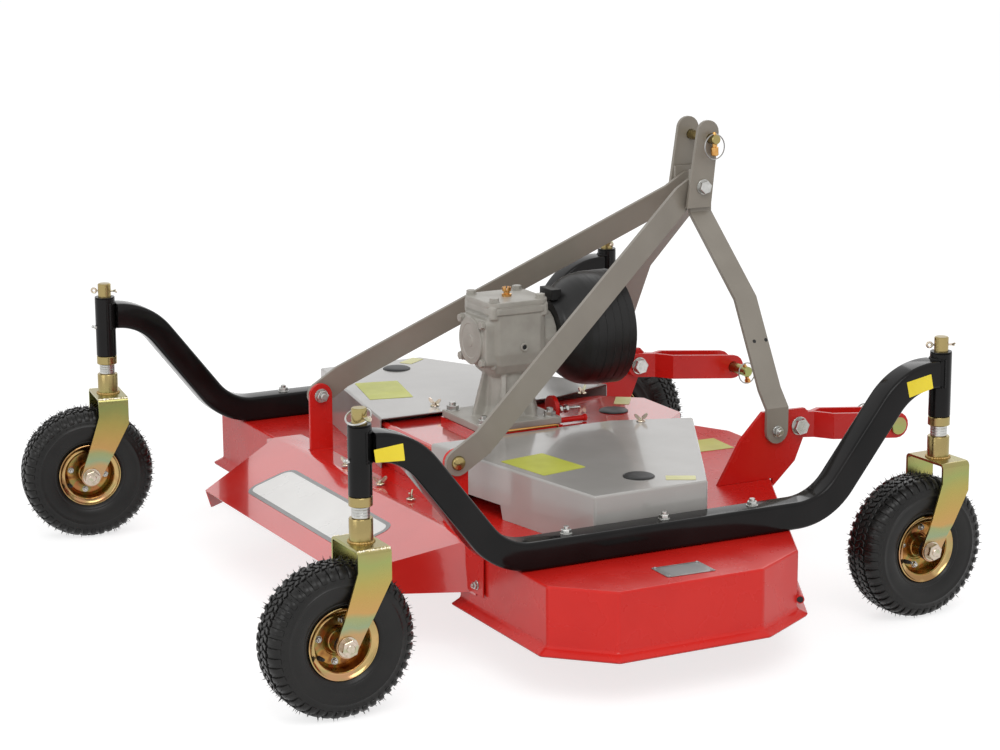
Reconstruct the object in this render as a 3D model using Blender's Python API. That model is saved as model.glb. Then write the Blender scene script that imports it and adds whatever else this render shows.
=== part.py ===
# A three-point finishing mower: a red pressed deck with three belt-driven blades, a gearbox with
# its shaft guard, a hitch mast on flat-bar struts, and four swivelling castors on bent side tubes.
# Metres. +X is the machine's right, +Y points to the tractor, +Z up, and the ground is at Z = 0.
import bmesh
import bpy
from math import cos, degrees, hypot, pi, radians, sin
from mathutils import Matrix, Vector

# Running and seating clearances
seat_gap = 0.0003
pin_gap = 0.0004
shaft_gap = 0.0005

# Deck pan
deck_top_z = 0.200
deck_sheet = 0.004
wall_bottom_z = 0.095
lip_drop = 0.009
lip_reach = 0.018
deck_rear_y = -0.348
deck_half_width = 0.804
rear_corner_x = 0.718
rear_corner_y = -0.260
front_side_y = 0.022
front_corner = (0.738, 0.135)
nose = (0.050, 0.490)
discharge_half_width = 0.400
edge_rod_radius = 0.0075
edge_rod_z = 0.111

# Rear discharge hood
hood_sheet = 0.003
hood_top_half_width = 0.425
hood_tip_half_width = 0.325
hood_tip_y = -0.540
hood_tip_z = 0.140
hood_end_drop = 0.035
hood_flange_y = -0.292
hood_wall_z = 0.115
hood_tab_reach = 0.040

# Belt covers and the housing between them
cover_sheet = 0.003
cover_top_z = 0.298
cover_side_x = 0.223
cover_notch = (0.170, 0.330, 0.026)
plug_radius = 0.028
plug_inset = (0.082, 0.136)
housing_sheet = 0.003
housing_half_width = 0.130
housing_top_z = 0.285
housing_rear_y = -0.246
housing_front_y = 0.300
housing_pad_half_width = 0.085
housing_roll_radius = 0.007

# Blades and their spindles
blade_radius = 0.255
blade_width = 0.060
blade_thickness = 0.006
blade_z = 0.110
blade_wing_rise = 0.016
spindle_shaft_radius = 0.0125
spindle_barrel_radius = 0.036
spindle_flange_radius = 0.070
spindle_top_z = 0.238
centre_spindle = (0.0, 0.190)
side_spindle = (deck_half_width - 0.304, -0.045)

# Gearbox and drive
gearbox_y = -0.050
gearbox_base_z = 0.2955
gearbox_base_thickness = 0.0145
gearbox_base_half_width = 0.080
gearbox_base_back = 0.095
gearbox_base_ahead = 0.080
gearbox_corner = 0.018
gearbox_body_z = 0.388
gearbox_top_z = 0.537
gearbox_half_width = 0.0575
gearbox_rear_y = -0.107
gearbox_front_y = 0.014
gearbox_neck = 0.024
gearbox_neck_radius = 0.050
gearbox_lid = 0.016
rear_flange = (0.053, 0.046)
rear_flange_thickness = 0.011
rear_cover_radius = 0.0455
rear_cover_step = 0.006
boss_radius = 0.010
column_radius = 0.042
column_spread = 0.027
column_ribs = 6
rib_thickness = 0.010
drive_z = 0.458
shaft_radius = 0.0175
shaft_end_y = 0.172
guard_radius = 0.110
guard_neck_radius = 0.066
guard_bore_radius = 0.036
guard_wall = 0.004
guard_neck_y = 0.056
guard_mouth_y = 0.179

# Belt tensioner, on the housing ahead of the gearbox's base plate
tensioner_x = 0.029
tensioner_width = 0.046
tensioner_plate = 0.009
tensioner_height = 0.0545
tensioner_screw_length = 0.045
tensioner_screw_radius = 0.0035
tensioner_rod_length = 0.055
tensioner_rod_radius = 0.0055

# Hitch mast, struts and lower arms
bar_width = 0.048
bar_thickness = 0.008
ear_inner_x = 0.033
ear_bottom_z = 0.680
top_pin = (0.381, 0.814)
top_pin_radius = 0.0095
mast_bolt = (0.365, 0.721)
mast_bolt_radius = 0.008
bracket_inner_x = 0.305
rear_bracket_x = 0.293
rear_bracket_bolt = (-0.305, 0.3115)
front_bracket_bolt = (0.362, 0.2935)
strut_top_z = 0.755
strut_fold_z = 0.670
strut_foot_fold_z = 0.337
bracket_rear_y = 0.237
bracket_wall_z = 0.184
bracket_heel = (0.408, 0.229)
bracket_beak = (0.425, 0.2695)
bracket_front_low = (0.4385, 0.3015)
bracket_front_high = (0.4385, 0.3195)
bracket_top_front = (0.429, 0.3295)
bracket_top_rear = (0.334, 0.3315)
bracket_shoulder = (0.287, 0.2835)
arm_pivot = (0.416, 0.2965)
arm_end = (0.635, 0.2745)
arm_height = 0.050
arm_gap = 0.045
arm_split_y = 0.456
arm_open_y = 0.486
arm_bolt_radius = 0.011
lower_pin_radius = 0.011
arm_lift = 25

# Castors, from the ground up
wheel_radius = 0.131
crown_clearance = 0.023
fork_sheet = 0.005
fork_top_z = 2 * wheel_radius + crown_clearance + fork_sheet
fork_half_width = 0.054
fork_bend = 0.009
fork_joggle = 0.003
fork_depth = 0.060
fork_eye_radius = 0.020
castor_trail = 0.049
collar_radius = 0.020
collar_height = 0.040
spacer_radius = 0.015
spacer_height = 0.020
stem_radius = 0.013
stem_stack = 0.077
barrel_radius = 0.020
barrel_length = 0.117
barrel_low_z = fork_top_z + stem_stack
barrel_high_z = barrel_low_z + barrel_length
stem_top_z = barrel_high_z + 0.0295
lug_height = 0.004
tyre_half_width = 0.0435
rim_flange_radius = 0.0625
rim_barrel_radius = 0.0525
hub_radius = 0.017
axle_radius = 0.008

# Side tubes, which carry the barrels
tube_inset = 0.194
tube_x = deck_half_width - tube_inset
tube_size = 0.050
tube_corner = 0.006
tube_high_z = barrel_low_z + 0.0815
tube_bend_radius = 0.120
tube_bend_angle = 52
tube_rear_low_y = -0.325
tube_front_low_y = 0.205

# Castors: name, swivel X, swivel Y, heading in degrees as it stands parked
castor_table = (
    ("rear_left", -tube_x, -0.633, -8.8),
    ("rear_right", tube_x, -0.633, -0.6),
    ("front_left", -tube_x, 0.521, 117.5),
    ("front_right", tube_x, 0.521, 2.3),
)

# The part's origin is midway between the rear tyres' tread and the arms' tips
rearmost_y = castor_table[1][2] - castor_trail * cos(radians(castor_table[1][3])) - wheel_radius
foremost_y = arm_end[0] + arm_height / 2
middle_y = (rearmost_y + foremost_y) / 2

# Finishes: name: red, green, blue, roughness, metallic
finishes = {
    "red_paint": (0.60, 0.014, 0.012, 0.22, 0.0),
    "grey_paint": (0.27, 0.25, 0.22, 0.35, 0.0),
    "cover_grey": (0.42, 0.40, 0.38, 0.18, 0.0),
    "cast_grey": (0.33, 0.31, 0.28, 0.45, 0.0),
    "black_paint": (0.012, 0.012, 0.012, 0.15, 0.0),
    "zinc_yellow": (0.62, 0.47, 0.18, 0.30, 1.0),
    "bright_steel": (0.60, 0.60, 0.58, 0.30, 1.0),
    "black_plastic": (0.015, 0.015, 0.016, 0.45, 0.0),
    "rubber": (0.018, 0.018, 0.018, 0.70, 0.0),
}


def clear_scene():
    for obj in list(bpy.data.objects):
        bpy.data.objects.remove(obj, do_unlink=True)


def finish_material(name):
    found = bpy.data.materials.get(name)
    if found:
        return found
    red, green, blue, roughness, metallic = finishes[name]
    made = bpy.data.materials.new(name)
    made.use_nodes = True
    shader = made.node_tree.nodes["Principled BSDF"]
    shader.inputs["Base Color"].default_value = (red, green, blue, 1.0)
    shader.inputs["Roughness"].default_value = roughness
    shader.inputs["Metallic"].default_value = metallic
    return made


def add_empty(name, location, parent=None, turn=0.0):
    empty = bpy.data.objects.new(name, None)
    bpy.context.scene.collection.objects.link(empty)
    empty.location = location
    empty.rotation_euler = (0, 0, radians(turn))
    empty.parent = parent
    return empty


def add_object(name, shape, finish, parent, pivot=(0, 0, 0)):
    """Makes an object of a shape drawn in its parent's frame, with its own origin at the pivot."""
    bmesh.ops.translate(shape, verts=shape.verts, vec=-Vector(pivot))
    mesh = bpy.data.meshes.new(name)
    shape.to_mesh(mesh)
    shape.free()
    mesh.shade_smooth()
    mesh.set_sharp_from_angle(angle=radians(32))
    mesh.materials.append(finish_material(finish))
    obj = bpy.data.objects.new(name, mesh)
    bpy.context.scene.collection.objects.link(obj)
    obj.location = pivot
    obj.parent = parent
    return obj


def combine(target, shape, operation):
    """Joins the shape to the target, cuts it away or keeps what they share, by a Boolean."""
    number = len(target.modifiers) + 1
    finish = target.data.materials[0].name
    tool = add_object(f"{target.name}_tool{number}", shape, finish, target.parent)
    tool.hide_render = True
    tool.display_type = "WIRE"
    modifier = target.modifiers.new(tool.name, "BOOLEAN")
    modifier.operation = operation
    modifier.object = tool
    modifier.solver = "EXACT"


def solidify(target, thickness, offset=-1.0):
    modifier = target.modifiers.new("sheet", "SOLIDIFY")
    modifier.thickness = thickness
    modifier.offset = offset
    modifier.use_even_offset = True
    modifier.use_quality_normals = True


def along(axis, first, second, height):
    """A point from two coordinates across an axis and one along it."""
    return {
        "X": (height, first, second),
        "Y": (first, height, second),
        "Z": (first, second, height),
    }[axis]


def prism(outline, low, high, axis="Z"):
    shape = bmesh.new()
    bottom = [shape.verts.new(along(axis, a, b, low)) for a, b in outline]
    top = [shape.verts.new(along(axis, a, b, high)) for a, b in outline]
    shape.faces.new(bottom)
    shape.faces.new(top)
    for i in range(len(outline)):
        j = (i + 1) % len(outline)
        shape.faces.new((bottom[i], bottom[j], top[j], top[i]))
    bmesh.ops.recalc_face_normals(shape, faces=shape.faces)
    return shape


def block(low, high):
    corners = ((low[0], low[1]), (high[0], low[1]), (high[0], high[1]), (low[0], high[1]))
    return prism(corners, low[2], high[2])


def turned(profile, steps, axis="Z", centre=(0, 0, 0)):
    """Turns (radius, height) points about an axis: a ring where no point is on it."""
    shape = bmesh.new()
    rings = []
    for radius, height in profile:
        if radius == 0:
            rings.append([shape.verts.new(along(axis, 0, 0, height))] * steps)
            continue
        angles = [2 * pi * i / steps for i in range(steps)]
        rings.append(
            [shape.verts.new(along(axis, radius * cos(a), radius * sin(a), height)) for a in angles]
        )
    pairs = list(zip(rings, rings[1:]))
    if profile[0][0] > 0 and profile[-1][0] > 0:
        pairs.append((rings[-1], rings[0]))
    for lower, upper in pairs:
        for i in range(steps):
            j = (i + 1) % steps
            corners = dict.fromkeys((lower[i], lower[j], upper[j], upper[i]))
            shape.faces.new(tuple(corners))
    bmesh.ops.recalc_face_normals(shape, faces=shape.faces)
    bmesh.ops.translate(shape, verts=shape.verts, vec=centre)
    return shape


def rod(radius, low, high, steps=16, axis="Z", centre=(0, 0, 0)):
    return turned(((0, low), (radius, low), (radius, high), (0, high)), steps, axis, centre)


def join_shapes(*shapes):
    """One bmesh that holds several separate shapes, for use as one Boolean tool."""
    joined = bmesh.new()
    for shape in shapes:
        mesh = bpy.data.meshes.new("scrap")
        shape.to_mesh(mesh)
        shape.free()
        joined.from_mesh(mesh)
        bpy.data.meshes.remove(mesh)
    return joined


def arc(centre, radius, start, end, steps):
    angles = [radians(start + (end - start) * i / steps) for i in range(steps + 1)]
    return [(centre[0] + radius * cos(a), centre[1] + radius * sin(a)) for a in angles]


def mirrored_half(points):
    """Closes a right half outline, listed from rear to front, with its mirror image."""
    return list(points) + [(-x, y) for x, y in reversed(points) if x > 0]


def offset_outline(outline, distance):
    """Moves an anticlockwise outline outwards, keeping its corners mitred."""
    moved = []
    for i, here in enumerate(outline):
        before = Vector(outline[i - 1])
        after = Vector(outline[(i + 1) % len(outline)])
        here = Vector(here)
        first = (here - before).normalized()
        second = (after - here).normalized()
        normal = (Vector((first.y, -first.x)) + Vector((second.y, -second.x))).normalized()
        reach = distance / normal.dot(Vector((first.y, -first.x)))
        moved.append(tuple(here + normal * reach))
    return moved


def swept(path, section):
    """Sweeps a closed section along a path: each station gives a point and its two side axes."""
    shape = bmesh.new()
    rings = []
    for point, side, up in path:
        rings.append(
            [shape.verts.new(Vector(point) + Vector(side) * a + Vector(up) * b) for a, b in section]
        )
    count = len(section)
    for first, second in zip(rings, rings[1:]):
        for i in range(count):
            j = (i + 1) % count
            shape.faces.new((first[i], first[j], second[j], second[i]))
    shape.faces.new(rings[0])
    shape.faces.new(rings[-1])
    bmesh.ops.recalc_face_normals(shape, faces=shape.faces)
    return shape


def pan(outline, top_z, rows, gaps=()):
    """An open sheet: a flat top and walls that step down through rows of (outset, z)."""
    shape = bmesh.new()
    rings = [[shape.verts.new((x, y, top_z)) for x, y in outline]]
    shape.faces.new(rings[0])
    for outset, z in rows:
        ring = offset_outline(outline, outset) if outset else outline
        rings.append([shape.verts.new((x, y, z)) for x, y in ring])
    for upper, lower in zip(rings, rings[1:]):
        for i in range(len(outline)):
            j = (i + 1) % len(outline)
            if i not in gaps:
                shape.faces.new((upper[i], lower[i], lower[j], upper[j]))
    loose = [vert for vert in shape.verts if not vert.link_faces]
    bmesh.ops.delete(shape, geom=loose, context="VERTS")
    return shape


def flat_bar(stations, width_axis, round_start=True, round_end=True):
    """The middle surface of a folded flat bar with half-round ends, to be given its thickness."""
    shape = bmesh.new()
    across = Vector(width_axis).normalized() * bar_width / 2
    points = [Vector(p) for p in stations]
    edges = [(shape.verts.new(p - across), shape.verts.new(p + across)) for p in points]
    last = len(points) - 2
    for i, (first, second) in enumerate(zip(edges, edges[1:])):
        corners = [first[0], second[0]]
        if i == last and round_end:
            ahead = (points[-1] - points[-2]).normalized() * bar_width / 2
            for k in range(1, 8):
                a = pi * k / 8
                corners.append(shape.verts.new(points[-1] - across * cos(a) + ahead * sin(a)))
        corners += [second[1], first[1]]
        if i == 0 and round_start:
            back = (points[0] - points[1]).normalized() * bar_width / 2
            for k in range(1, 8):
                a = pi * k / 8
                corners.append(shape.verts.new(points[0] + across * cos(a) + back * sin(a)))
        shape.faces.new(corners)
    bmesh.ops.recalc_face_normals(shape, faces=shape.faces)
    return shape


# Deck outline, right half from the rear to the nose
deck_half = (
    (discharge_half_width, deck_rear_y),
    (rear_corner_x, deck_rear_y),
    (deck_half_width, rear_corner_y),
    (deck_half_width, front_side_y),
    front_corner,
    nose,
)


def make_deck(mower):
    outline = mirrored_half(deck_half)
    discharge_side = len(outline) - 1
    rows = ((0, wall_bottom_z), (lip_reach, wall_bottom_z - lip_drop))
    deck = add_object("deck", pan(outline, deck_top_z, rows, (discharge_side,)), "red_paint", mower)
    solidify(deck, deck_sheet)

    # The round edge rod along the front walls
    rod_line = offset_outline(outline, edge_rod_radius * 0.6)
    right, left = rod_line[4], rod_line[7]
    route = [right, rod_line[5], rod_line[6], left]
    stations = []
    for i, here in enumerate(route):
        before = Vector(route[max(i - 1, 0)])
        after = Vector(route[min(i + 1, len(route) - 1)])
        heading = (after - before).normalized()
        side = Vector((heading.y, -heading.x, 0))
        stations.append(((*here, edge_rod_z), side, (0, 0, 1)))
    section = arc((0, 0), edge_rod_radius, 0, 315, 7)
    combine(deck, swept(stations, section), "UNION")

    # Rear strut brackets, welded to the deck's top
    for x in (rear_bracket_x, -rear_bracket_x - bar_thickness):
        y, z = rear_bracket_bolt
        half = bar_width / 2
        top = z + half
        bracket = (
            (y - half, deck_top_z - deck_sheet / 2),
            (y + half, deck_top_z - deck_sheet / 2),
            (y + half, top - half * 0.5),
            (y + half * 0.5, top),
            (y - half * 0.5, top),
            (y - half, top - half * 0.5),
        )
        combine(deck, prism(bracket, x, x + bar_thickness, "X"), "UNION")

    # Spindle holes
    hole_radius = spindle_barrel_radius + pin_gap * 2
    low, high = deck_top_z - 0.02, deck_top_z + 0.02
    holes = [rod(hole_radius, low, high, 20, "Z", (x, y, 0)) for x, y in spindle_places()]
    combine(deck, join_shapes(*holes), "DIFFERENCE")


def spindle_places():
    x, y = side_spindle
    return (centre_spindle, (x, y), (-x, y))


def make_hood(mower):
    wall_y = deck_rear_y - hood_sheet / 2 - seat_gap * 2
    flange_z = deck_top_z + seat_gap + hood_sheet / 2
    shape = bmesh.new()

    def pair(x, y, z):
        return shape.verts.new((x, y, z)), shape.verts.new((-x, y, z))

    top = pair(hood_top_half_width, wall_y, flange_z)
    flange = pair(hood_top_half_width, hood_flange_y, flange_z)
    tip = pair(hood_tip_half_width, hood_tip_y, hood_tip_z)
    low_tip = pair(hood_tip_half_width + 0.004, hood_tip_y + 0.012, hood_tip_z - hood_end_drop)
    foot = pair(hood_top_half_width + 0.015, wall_y, hood_wall_z)
    tab_top = pair(hood_top_half_width + hood_tab_reach, wall_y, deck_top_z - deck_sheet * 2)
    tab_low = pair(hood_top_half_width + hood_tab_reach, wall_y, hood_wall_z)
    shape.faces.new((flange[0], flange[1], top[1], top[0]))
    shape.faces.new((top[0], top[1], tip[1], tip[0]))
    for i in range(2):
        shape.faces.new((top[i], tip[i], low_tip[i], foot[i]))
        shape.faces.new((top[i], foot[i], tab_low[i], tab_top[i]))
    bmesh.ops.recalc_face_normals(shape, faces=shape.faces)
    hood = add_object("rear_hood", shape, "red_paint", mower)
    solidify(hood, hood_sheet, 0.0)
    # Slots in the flange for the rear strut brackets
    slots = []
    for side in (1, -1):
        outer_x = rear_bracket_x + bar_thickness
        low, high = sorted(((rear_bracket_x - 0.002) * side, (outer_x + 0.002) * side))
        front = hood_flange_y + 0.01
        rear = rear_bracket_bolt[0] - bar_width / 2 - 0.002
        slots.append(block((low, rear, deck_top_z - 0.001), (high, front, deck_top_z + 0.01)))
    combine(hood, join_shapes(*slots), "DIFFERENCE")


# Belt covers, right half: the top's corners, anticlockwise from the inner rear
cover_outline = (
    (housing_half_width - 0.018, -0.262),
    (deck_half_width - cover_side_x, -0.180),
    (deck_half_width - cover_side_x - 0.003, 0.049),
    (housing_half_width + 0.037, 0.270),
    (housing_half_width - 0.018, 0.120),
)


def make_cover(mower, name, side):
    outline = [(x * side, y) for x, y in cover_outline]
    if side < 0:
        outline = outline[::-1]
    floor_z = deck_top_z + seat_gap
    gaps = [i for i in range(5) if is_inner_edge(outline, i)]
    shape = pan(outline, cover_top_z, ((0, floor_z),), gaps)
    cover = add_object(name, shape, "cover_grey", mower)
    solidify(cover, cover_sheet)
    # The rear wall is cut away at its foot, and a domed plug closes the top's grease hole
    inner_x, outer_x, notch_height = cover_notch
    low, high = sorted((inner_x * side, outer_x * side))
    notch = block((low, cover_outline[0][1] - 0.02, 0.1), (high, -0.15, floor_z + notch_height))
    combine(cover, notch, "DIFFERENCE")
    plug_x = (cover_outline[1][0] - plug_inset[0]) * side
    plug_y = cover_outline[1][1] + plug_inset[1]
    combine(cover, plug_shape((plug_x, plug_y, cover_top_z)), "UNION")


def plug_shape(place):
    """A shallow domed plug that stands a little proud of the sheet it closes."""
    radius = plug_radius
    profile = ((0, -0.002), (radius, -0.002), (radius, 0.001), (radius - 0.004, 0.0035), (0, 0.0035))
    return turned(profile, 20, "Z", place)


def is_inner_edge(outline, i):
    """The edges towards the housing have no wall, because the belt runs through there."""
    first, second = outline[i], outline[(i + 1) % len(outline)]
    return abs(first[0]) < 0.2 and abs(second[0]) < 0.2


def make_housing(mower):
    floor_z = deck_top_z + seat_gap
    half = housing_half_width
    outline = [
        (-half, housing_rear_y),
        (half, housing_rear_y),
        (half, housing_front_y - 0.07),
        (half - 0.06, housing_front_y),
        (-half + 0.06, housing_front_y),
        (-half, housing_front_y - 0.07),
    ]
    shape = pan(outline, housing_top_z, ((0, floor_z),), (1, 5))
    housing = add_object("centre_housing", shape, "red_paint", mower)
    solidify(housing, housing_sheet)
    # The raised pad under the gearbox and the rolled rear edge
    pad = block(
        (-housing_pad_half_width, gearbox_y - gearbox_base_back, housing_top_z - housing_sheet / 2),
        (housing_pad_half_width, gearbox_y + gearbox_base_ahead, gearbox_base_z - seat_gap),
    )
    combine(housing, pad, "UNION")
    roll_z = housing_top_z - housing_roll_radius / 2
    roll = rod(housing_roll_radius, -half + 0.004, half - 0.004, 10, "X", (0, housing_rear_y, roll_z))
    combine(housing, roll, "UNION")
    combine(housing, plug_shape((0, centre_spindle[1], housing_top_z)), "UNION")


def make_tensioner(mower):
    """The belt tensioner: a round-topped plate across the housing, with its screw and flanged rod."""
    base_z = housing_top_z + seat_gap
    half, radius = tensioner_width / 2, tensioner_rod_radius
    rear = gearbox_y + gearbox_base_ahead + 0.003
    front = rear + tensioner_plate
    outline = [
        (tensioner_x - half, base_z), (tensioner_x + half, base_z),
        *arc((tensioner_x, base_z + tensioner_height - half), half, 0, 180, 10),
    ]
    tensioner = add_object("belt_tensioner", prism(outline, rear, front, "Y"), "red_paint", mower)
    across = tensioner_x + half - radius
    screw_z, rod_z = base_z + tensioner_height * 0.55, base_z + radius * 1.3 + seat_gap
    screw_end = front + tensioner_screw_length
    screw = rod(tensioner_screw_radius, front - 0.003, screw_end, 10, "Y", (across, 0, screw_z))
    nut_radius = tensioner_screw_radius * 2.4
    nut = rod(nut_radius, front - 0.003, front + nut_radius, 6, "Y", (across, 0, screw_z))
    head = front + tensioner_rod_length
    flanged_rod = turned(
        ((0, front - 0.003), (radius, front - 0.003), (radius, head), (radius * 1.3, head),
         (radius * 1.3, head + 0.005), (0, head + 0.005)),
        12, "Y", (across, 0, rod_z),
    )
    for shape in (screw, nut, flanged_rod):
        combine(tensioner, shape, "UNION")


def gearbox_plan(outset=0.0, steps=2):
    """Plan outline of the gearbox body: a rectangle with rounded corners, grown by the outset."""
    half, radius = gearbox_half_width + outset, gearbox_corner + outset
    rear, front = gearbox_rear_y - outset, gearbox_front_y + outset
    corners = (
        (half - radius, front - radius, 0), (-half + radius, front - radius, 90),
        (-half + radius, rear + radius, 180), (half - radius, rear + radius, 270),
    )
    outline = []
    for x, y, start in corners:
        outline += arc((x, y), radius, start, start + 90, steps)
    return outline


def gearbox_column(base_top):
    """The column's core flares towards its foot, and tapered ribs run down it on all sides."""
    top = gearbox_body_z + 0.015
    core = turned(
        ((0, base_top - 0.004), (column_radius + 0.008, base_top - 0.004), (column_radius, base_top + 0.02),
         (column_radius - 0.004, top), (0, top)),
        16, "Z", (0, gearbox_y, 0),
    )
    ribs = []
    foot, head = column_radius + column_spread, column_radius + 0.002
    side = ((0.01, base_top - 0.004), (foot, base_top - 0.004), (foot, base_top + 0.006), (head, top),
            (0.01, top))
    for i in range(column_ribs):
        rib = prism([(r, z) for r, z in side], -rib_thickness / 2, rib_thickness / 2, "Y")
        turn = Matrix.Rotation(2 * pi * (i + 0.5) / column_ribs, 4, "Z")
        bmesh.ops.transform(rib, matrix=Matrix.Translation((0, gearbox_y, 0)) @ turn, verts=rib.verts)
        ribs.append(rib)
    return core, ribs


def make_gearbox(mower):
    """The right-angle gearbox: base plate, ribbed column, body with its lid and bolted rear cover."""
    body_y = (gearbox_rear_y + gearbox_front_y) / 2
    base_top = gearbox_base_z + gearbox_base_thickness
    plate = block(
        (-gearbox_base_half_width, gearbox_y - gearbox_base_back, gearbox_base_z),
        (gearbox_base_half_width, gearbox_y + gearbox_base_ahead, base_top),
    )
    gearbox = add_object("gearbox", plate, "cast_grey", mower)
    core, ribs = gearbox_column(base_top)
    combine(gearbox, core, "UNION")
    for rib in ribs:
        combine(gearbox, rib, "UNION")

    # The body narrows to a rounded bottom: levels of height and share of its width and length
    levels = (
        (gearbox_body_z, 0.58, 0.66), (gearbox_body_z + 0.010, 0.78, 0.82),
        (gearbox_body_z + 0.026, 0.93, 0.94), (gearbox_body_z + 0.048, 1.0, 1.0),
        (gearbox_top_z, 1.0, 1.0),
    )
    body = bmesh.new()
    rings = []
    for z, wide, deep in levels:
        rings.append([body.verts.new((x * wide, body_y + (y - body_y) * deep, z)) for x, y in gearbox_plan()])
    for lower, upper in zip(rings, rings[1:]):
        for i in range(len(lower)):
            j = (i + 1) % len(lower)
            body.faces.new((lower[i], lower[j], upper[j], upper[i]))
    body.faces.new(rings[0])
    body.faces.new(rings[-1])
    bmesh.ops.recalc_face_normals(body, faces=body.faces)
    combine(gearbox, body, "UNION")

    # Lid, with a boss under each of its four bolts
    lid = prism(gearbox_plan(0.003), gearbox_top_z - gearbox_lid, gearbox_top_z)
    combine(gearbox, lid, "UNION")
    inset = boss_radius * 0.8
    low, high = gearbox_top_z - gearbox_lid * 2, gearbox_top_z - gearbox_lid / 2
    for x in (gearbox_half_width - inset, inset - gearbox_half_width):
        for y in (gearbox_rear_y + inset, gearbox_front_y - inset):
            boss = rod(boss_radius, low, high, 10, "Z", (x, y, 0))
            combine(gearbox, boss, "UNION")

    # The rear bearing cover on its bolting flange, and the neck that the guard sits on
    half_x, half_z = rear_flange
    flange_outline = []
    for x, z, start in ((half_x, half_z, 0), (-half_x, half_z, 90), (-half_x, -half_z, 180),
                        (half_x, -half_z, 270)):
        centre = (x - boss_radius * (x > 0) + boss_radius * (x < 0),
                  drive_z + z - boss_radius * (z > 0) + boss_radius * (z < 0))
        flange_outline += arc(centre, boss_radius, start, start + 90, 3)
    flange_y = gearbox_rear_y - rear_flange_thickness
    combine(gearbox, prism(flange_outline, flange_y, gearbox_rear_y + 0.02, "Y"), "UNION")
    cover_y = flange_y - rear_cover_step
    rear_cover = rod(rear_cover_radius, cover_y, gearbox_rear_y, 16, "Y", (0, 0, drive_z))
    combine(gearbox, rear_cover, "UNION")
    neck_end = gearbox_front_y + gearbox_neck
    neck = rod(gearbox_neck_radius, gearbox_front_y - 0.02, neck_end, 16, "Y", (0, 0, drive_z))
    combine(gearbox, neck, "UNION")


def make_guard(mower):
    """The drive shaft's plastic guard: a neck on the gearbox that flares into a wide open drum."""
    back = gearbox_front_y + gearbox_neck + seat_gap
    neck, mouth, wall = guard_neck_radius, guard_radius, guard_wall
    # Outside of the drum from the neck to the mouth: radius, Y
    outside = (
        (neck, back), (neck, guard_neck_y), (mouth - 0.010, guard_neck_y + 0.031),
        (mouth - 0.003, guard_neck_y + 0.049), (mouth, guard_neck_y + 0.066), (mouth, guard_mouth_y),
    )
    inside = [(radius - wall, y + wall * 0.6) for radius, y in outside[1:-1]]
    profile = (
        *outside, (mouth - wall, guard_mouth_y), *reversed(inside), (neck - wall, back + wall),
        (guard_bore_radius, back + wall), (guard_bore_radius, back),
    )
    add_object("drive_guard", turned(profile, 20, "Y", (0, 0, drive_z)), "black_plastic", mower)


def make_drive_shaft(mower):
    start = gearbox_front_y + gearbox_neck + shaft_gap
    profile = (
        (0, start), (0.026, start), (0.026, start + 0.020), (shaft_radius, start + 0.022),
        (shaft_radius, shaft_end_y - 0.032), (shaft_radius - 0.003, shaft_end_y - 0.028),
        (shaft_radius - 0.003, shaft_end_y - 0.022), (shaft_radius, shaft_end_y - 0.018),
        (shaft_radius, shaft_end_y - 0.002), (shaft_radius - 0.002, shaft_end_y), (0, shaft_end_y),
    )
    shape = turned(profile, 16, "Y", (0, 0, drive_z))
    add_object("drive_shaft", shape, "bright_steel", mower, (0, 0, drive_z))


def make_spindle(mower, name, place):
    """The flanged bearing housing that hangs through the deck."""
    bore = spindle_shaft_radius + shaft_gap * 1.6
    top = deck_top_z + seat_gap
    low = blade_z + blade_thickness / 2 + 0.012
    profile = (
        (bore, low), (spindle_barrel_radius - 0.004, low), (spindle_barrel_radius, low + 0.006),
        (spindle_barrel_radius, top), (spindle_flange_radius, top), (spindle_flange_radius, top + 0.010),
        (spindle_barrel_radius, top + 0.012), (spindle_barrel_radius - 0.006, spindle_top_z),
        (bore, spindle_top_z),
    )
    add_object(name, turned(profile, 12, "Z", (*place, 0)), "cast_grey", mower)


def make_blade(mower, name, place):
    """A blade bar with raised trailing wings, its hub, its bolt and its shaft."""
    shape = bmesh.new()
    half = blade_width / 2
    # Stations along the bar: share of the radius, share of the wing's rise
    stations = ((-1.0, 1.0), (-0.74, 0.9), (-0.58, 0.0), (0.58, 0.0), (0.74, 0.9), (1.0, 1.0))
    rings = []
    for share, rise in stations:
        x = share * blade_radius
        trailing = -1 if share > 0 else 1
        corners = []
        for y in (-half, 0.2 * half * trailing, half):
            lift = rise * blade_wing_rise if y * trailing > half * 0.5 else 0.0
            corners.append((x, y, blade_z - blade_thickness / 2 + lift))
        upper = [(a, b, c + blade_thickness) for a, b, c in reversed(corners)]
        rings.append([shape.verts.new(Vector(p) + Vector((*place, 0))) for p in corners + upper])
    for first, second in zip(rings, rings[1:]):
        for i in range(6):
            j = (i + 1) % 6
            shape.faces.new((first[i], first[j], second[j], second[i]))
    shape.faces.new(rings[0])
    shape.faces.new(rings[-1])
    bmesh.ops.recalc_face_normals(shape, faces=shape.faces)
    blade = add_object(name, shape, "bright_steel", mower, (*place, 0))
    low = blade_z - blade_thickness / 2
    high = blade_z + blade_thickness / 2
    hub = turned(
        ((0, low - 0.014), (0.017, low - 0.014), (0.017, low - 0.005), (0.034, low - 0.004),
         (0.034, high + 0.008), (spindle_shaft_radius, high + 0.008),
         (spindle_shaft_radius, spindle_top_z + 0.006), (0, spindle_top_z + 0.006)),
        12, "Z", (*place, 0),
    )
    combine(blade, hub, "UNION")


def bracket_outer_x():
    return bracket_inner_x + bar_thickness


def strut_foot_x(bracket_x):
    """A strut's middle where it lies against the outside of its bracket."""
    return bracket_x + bar_thickness * 1.5 + seat_gap


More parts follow.
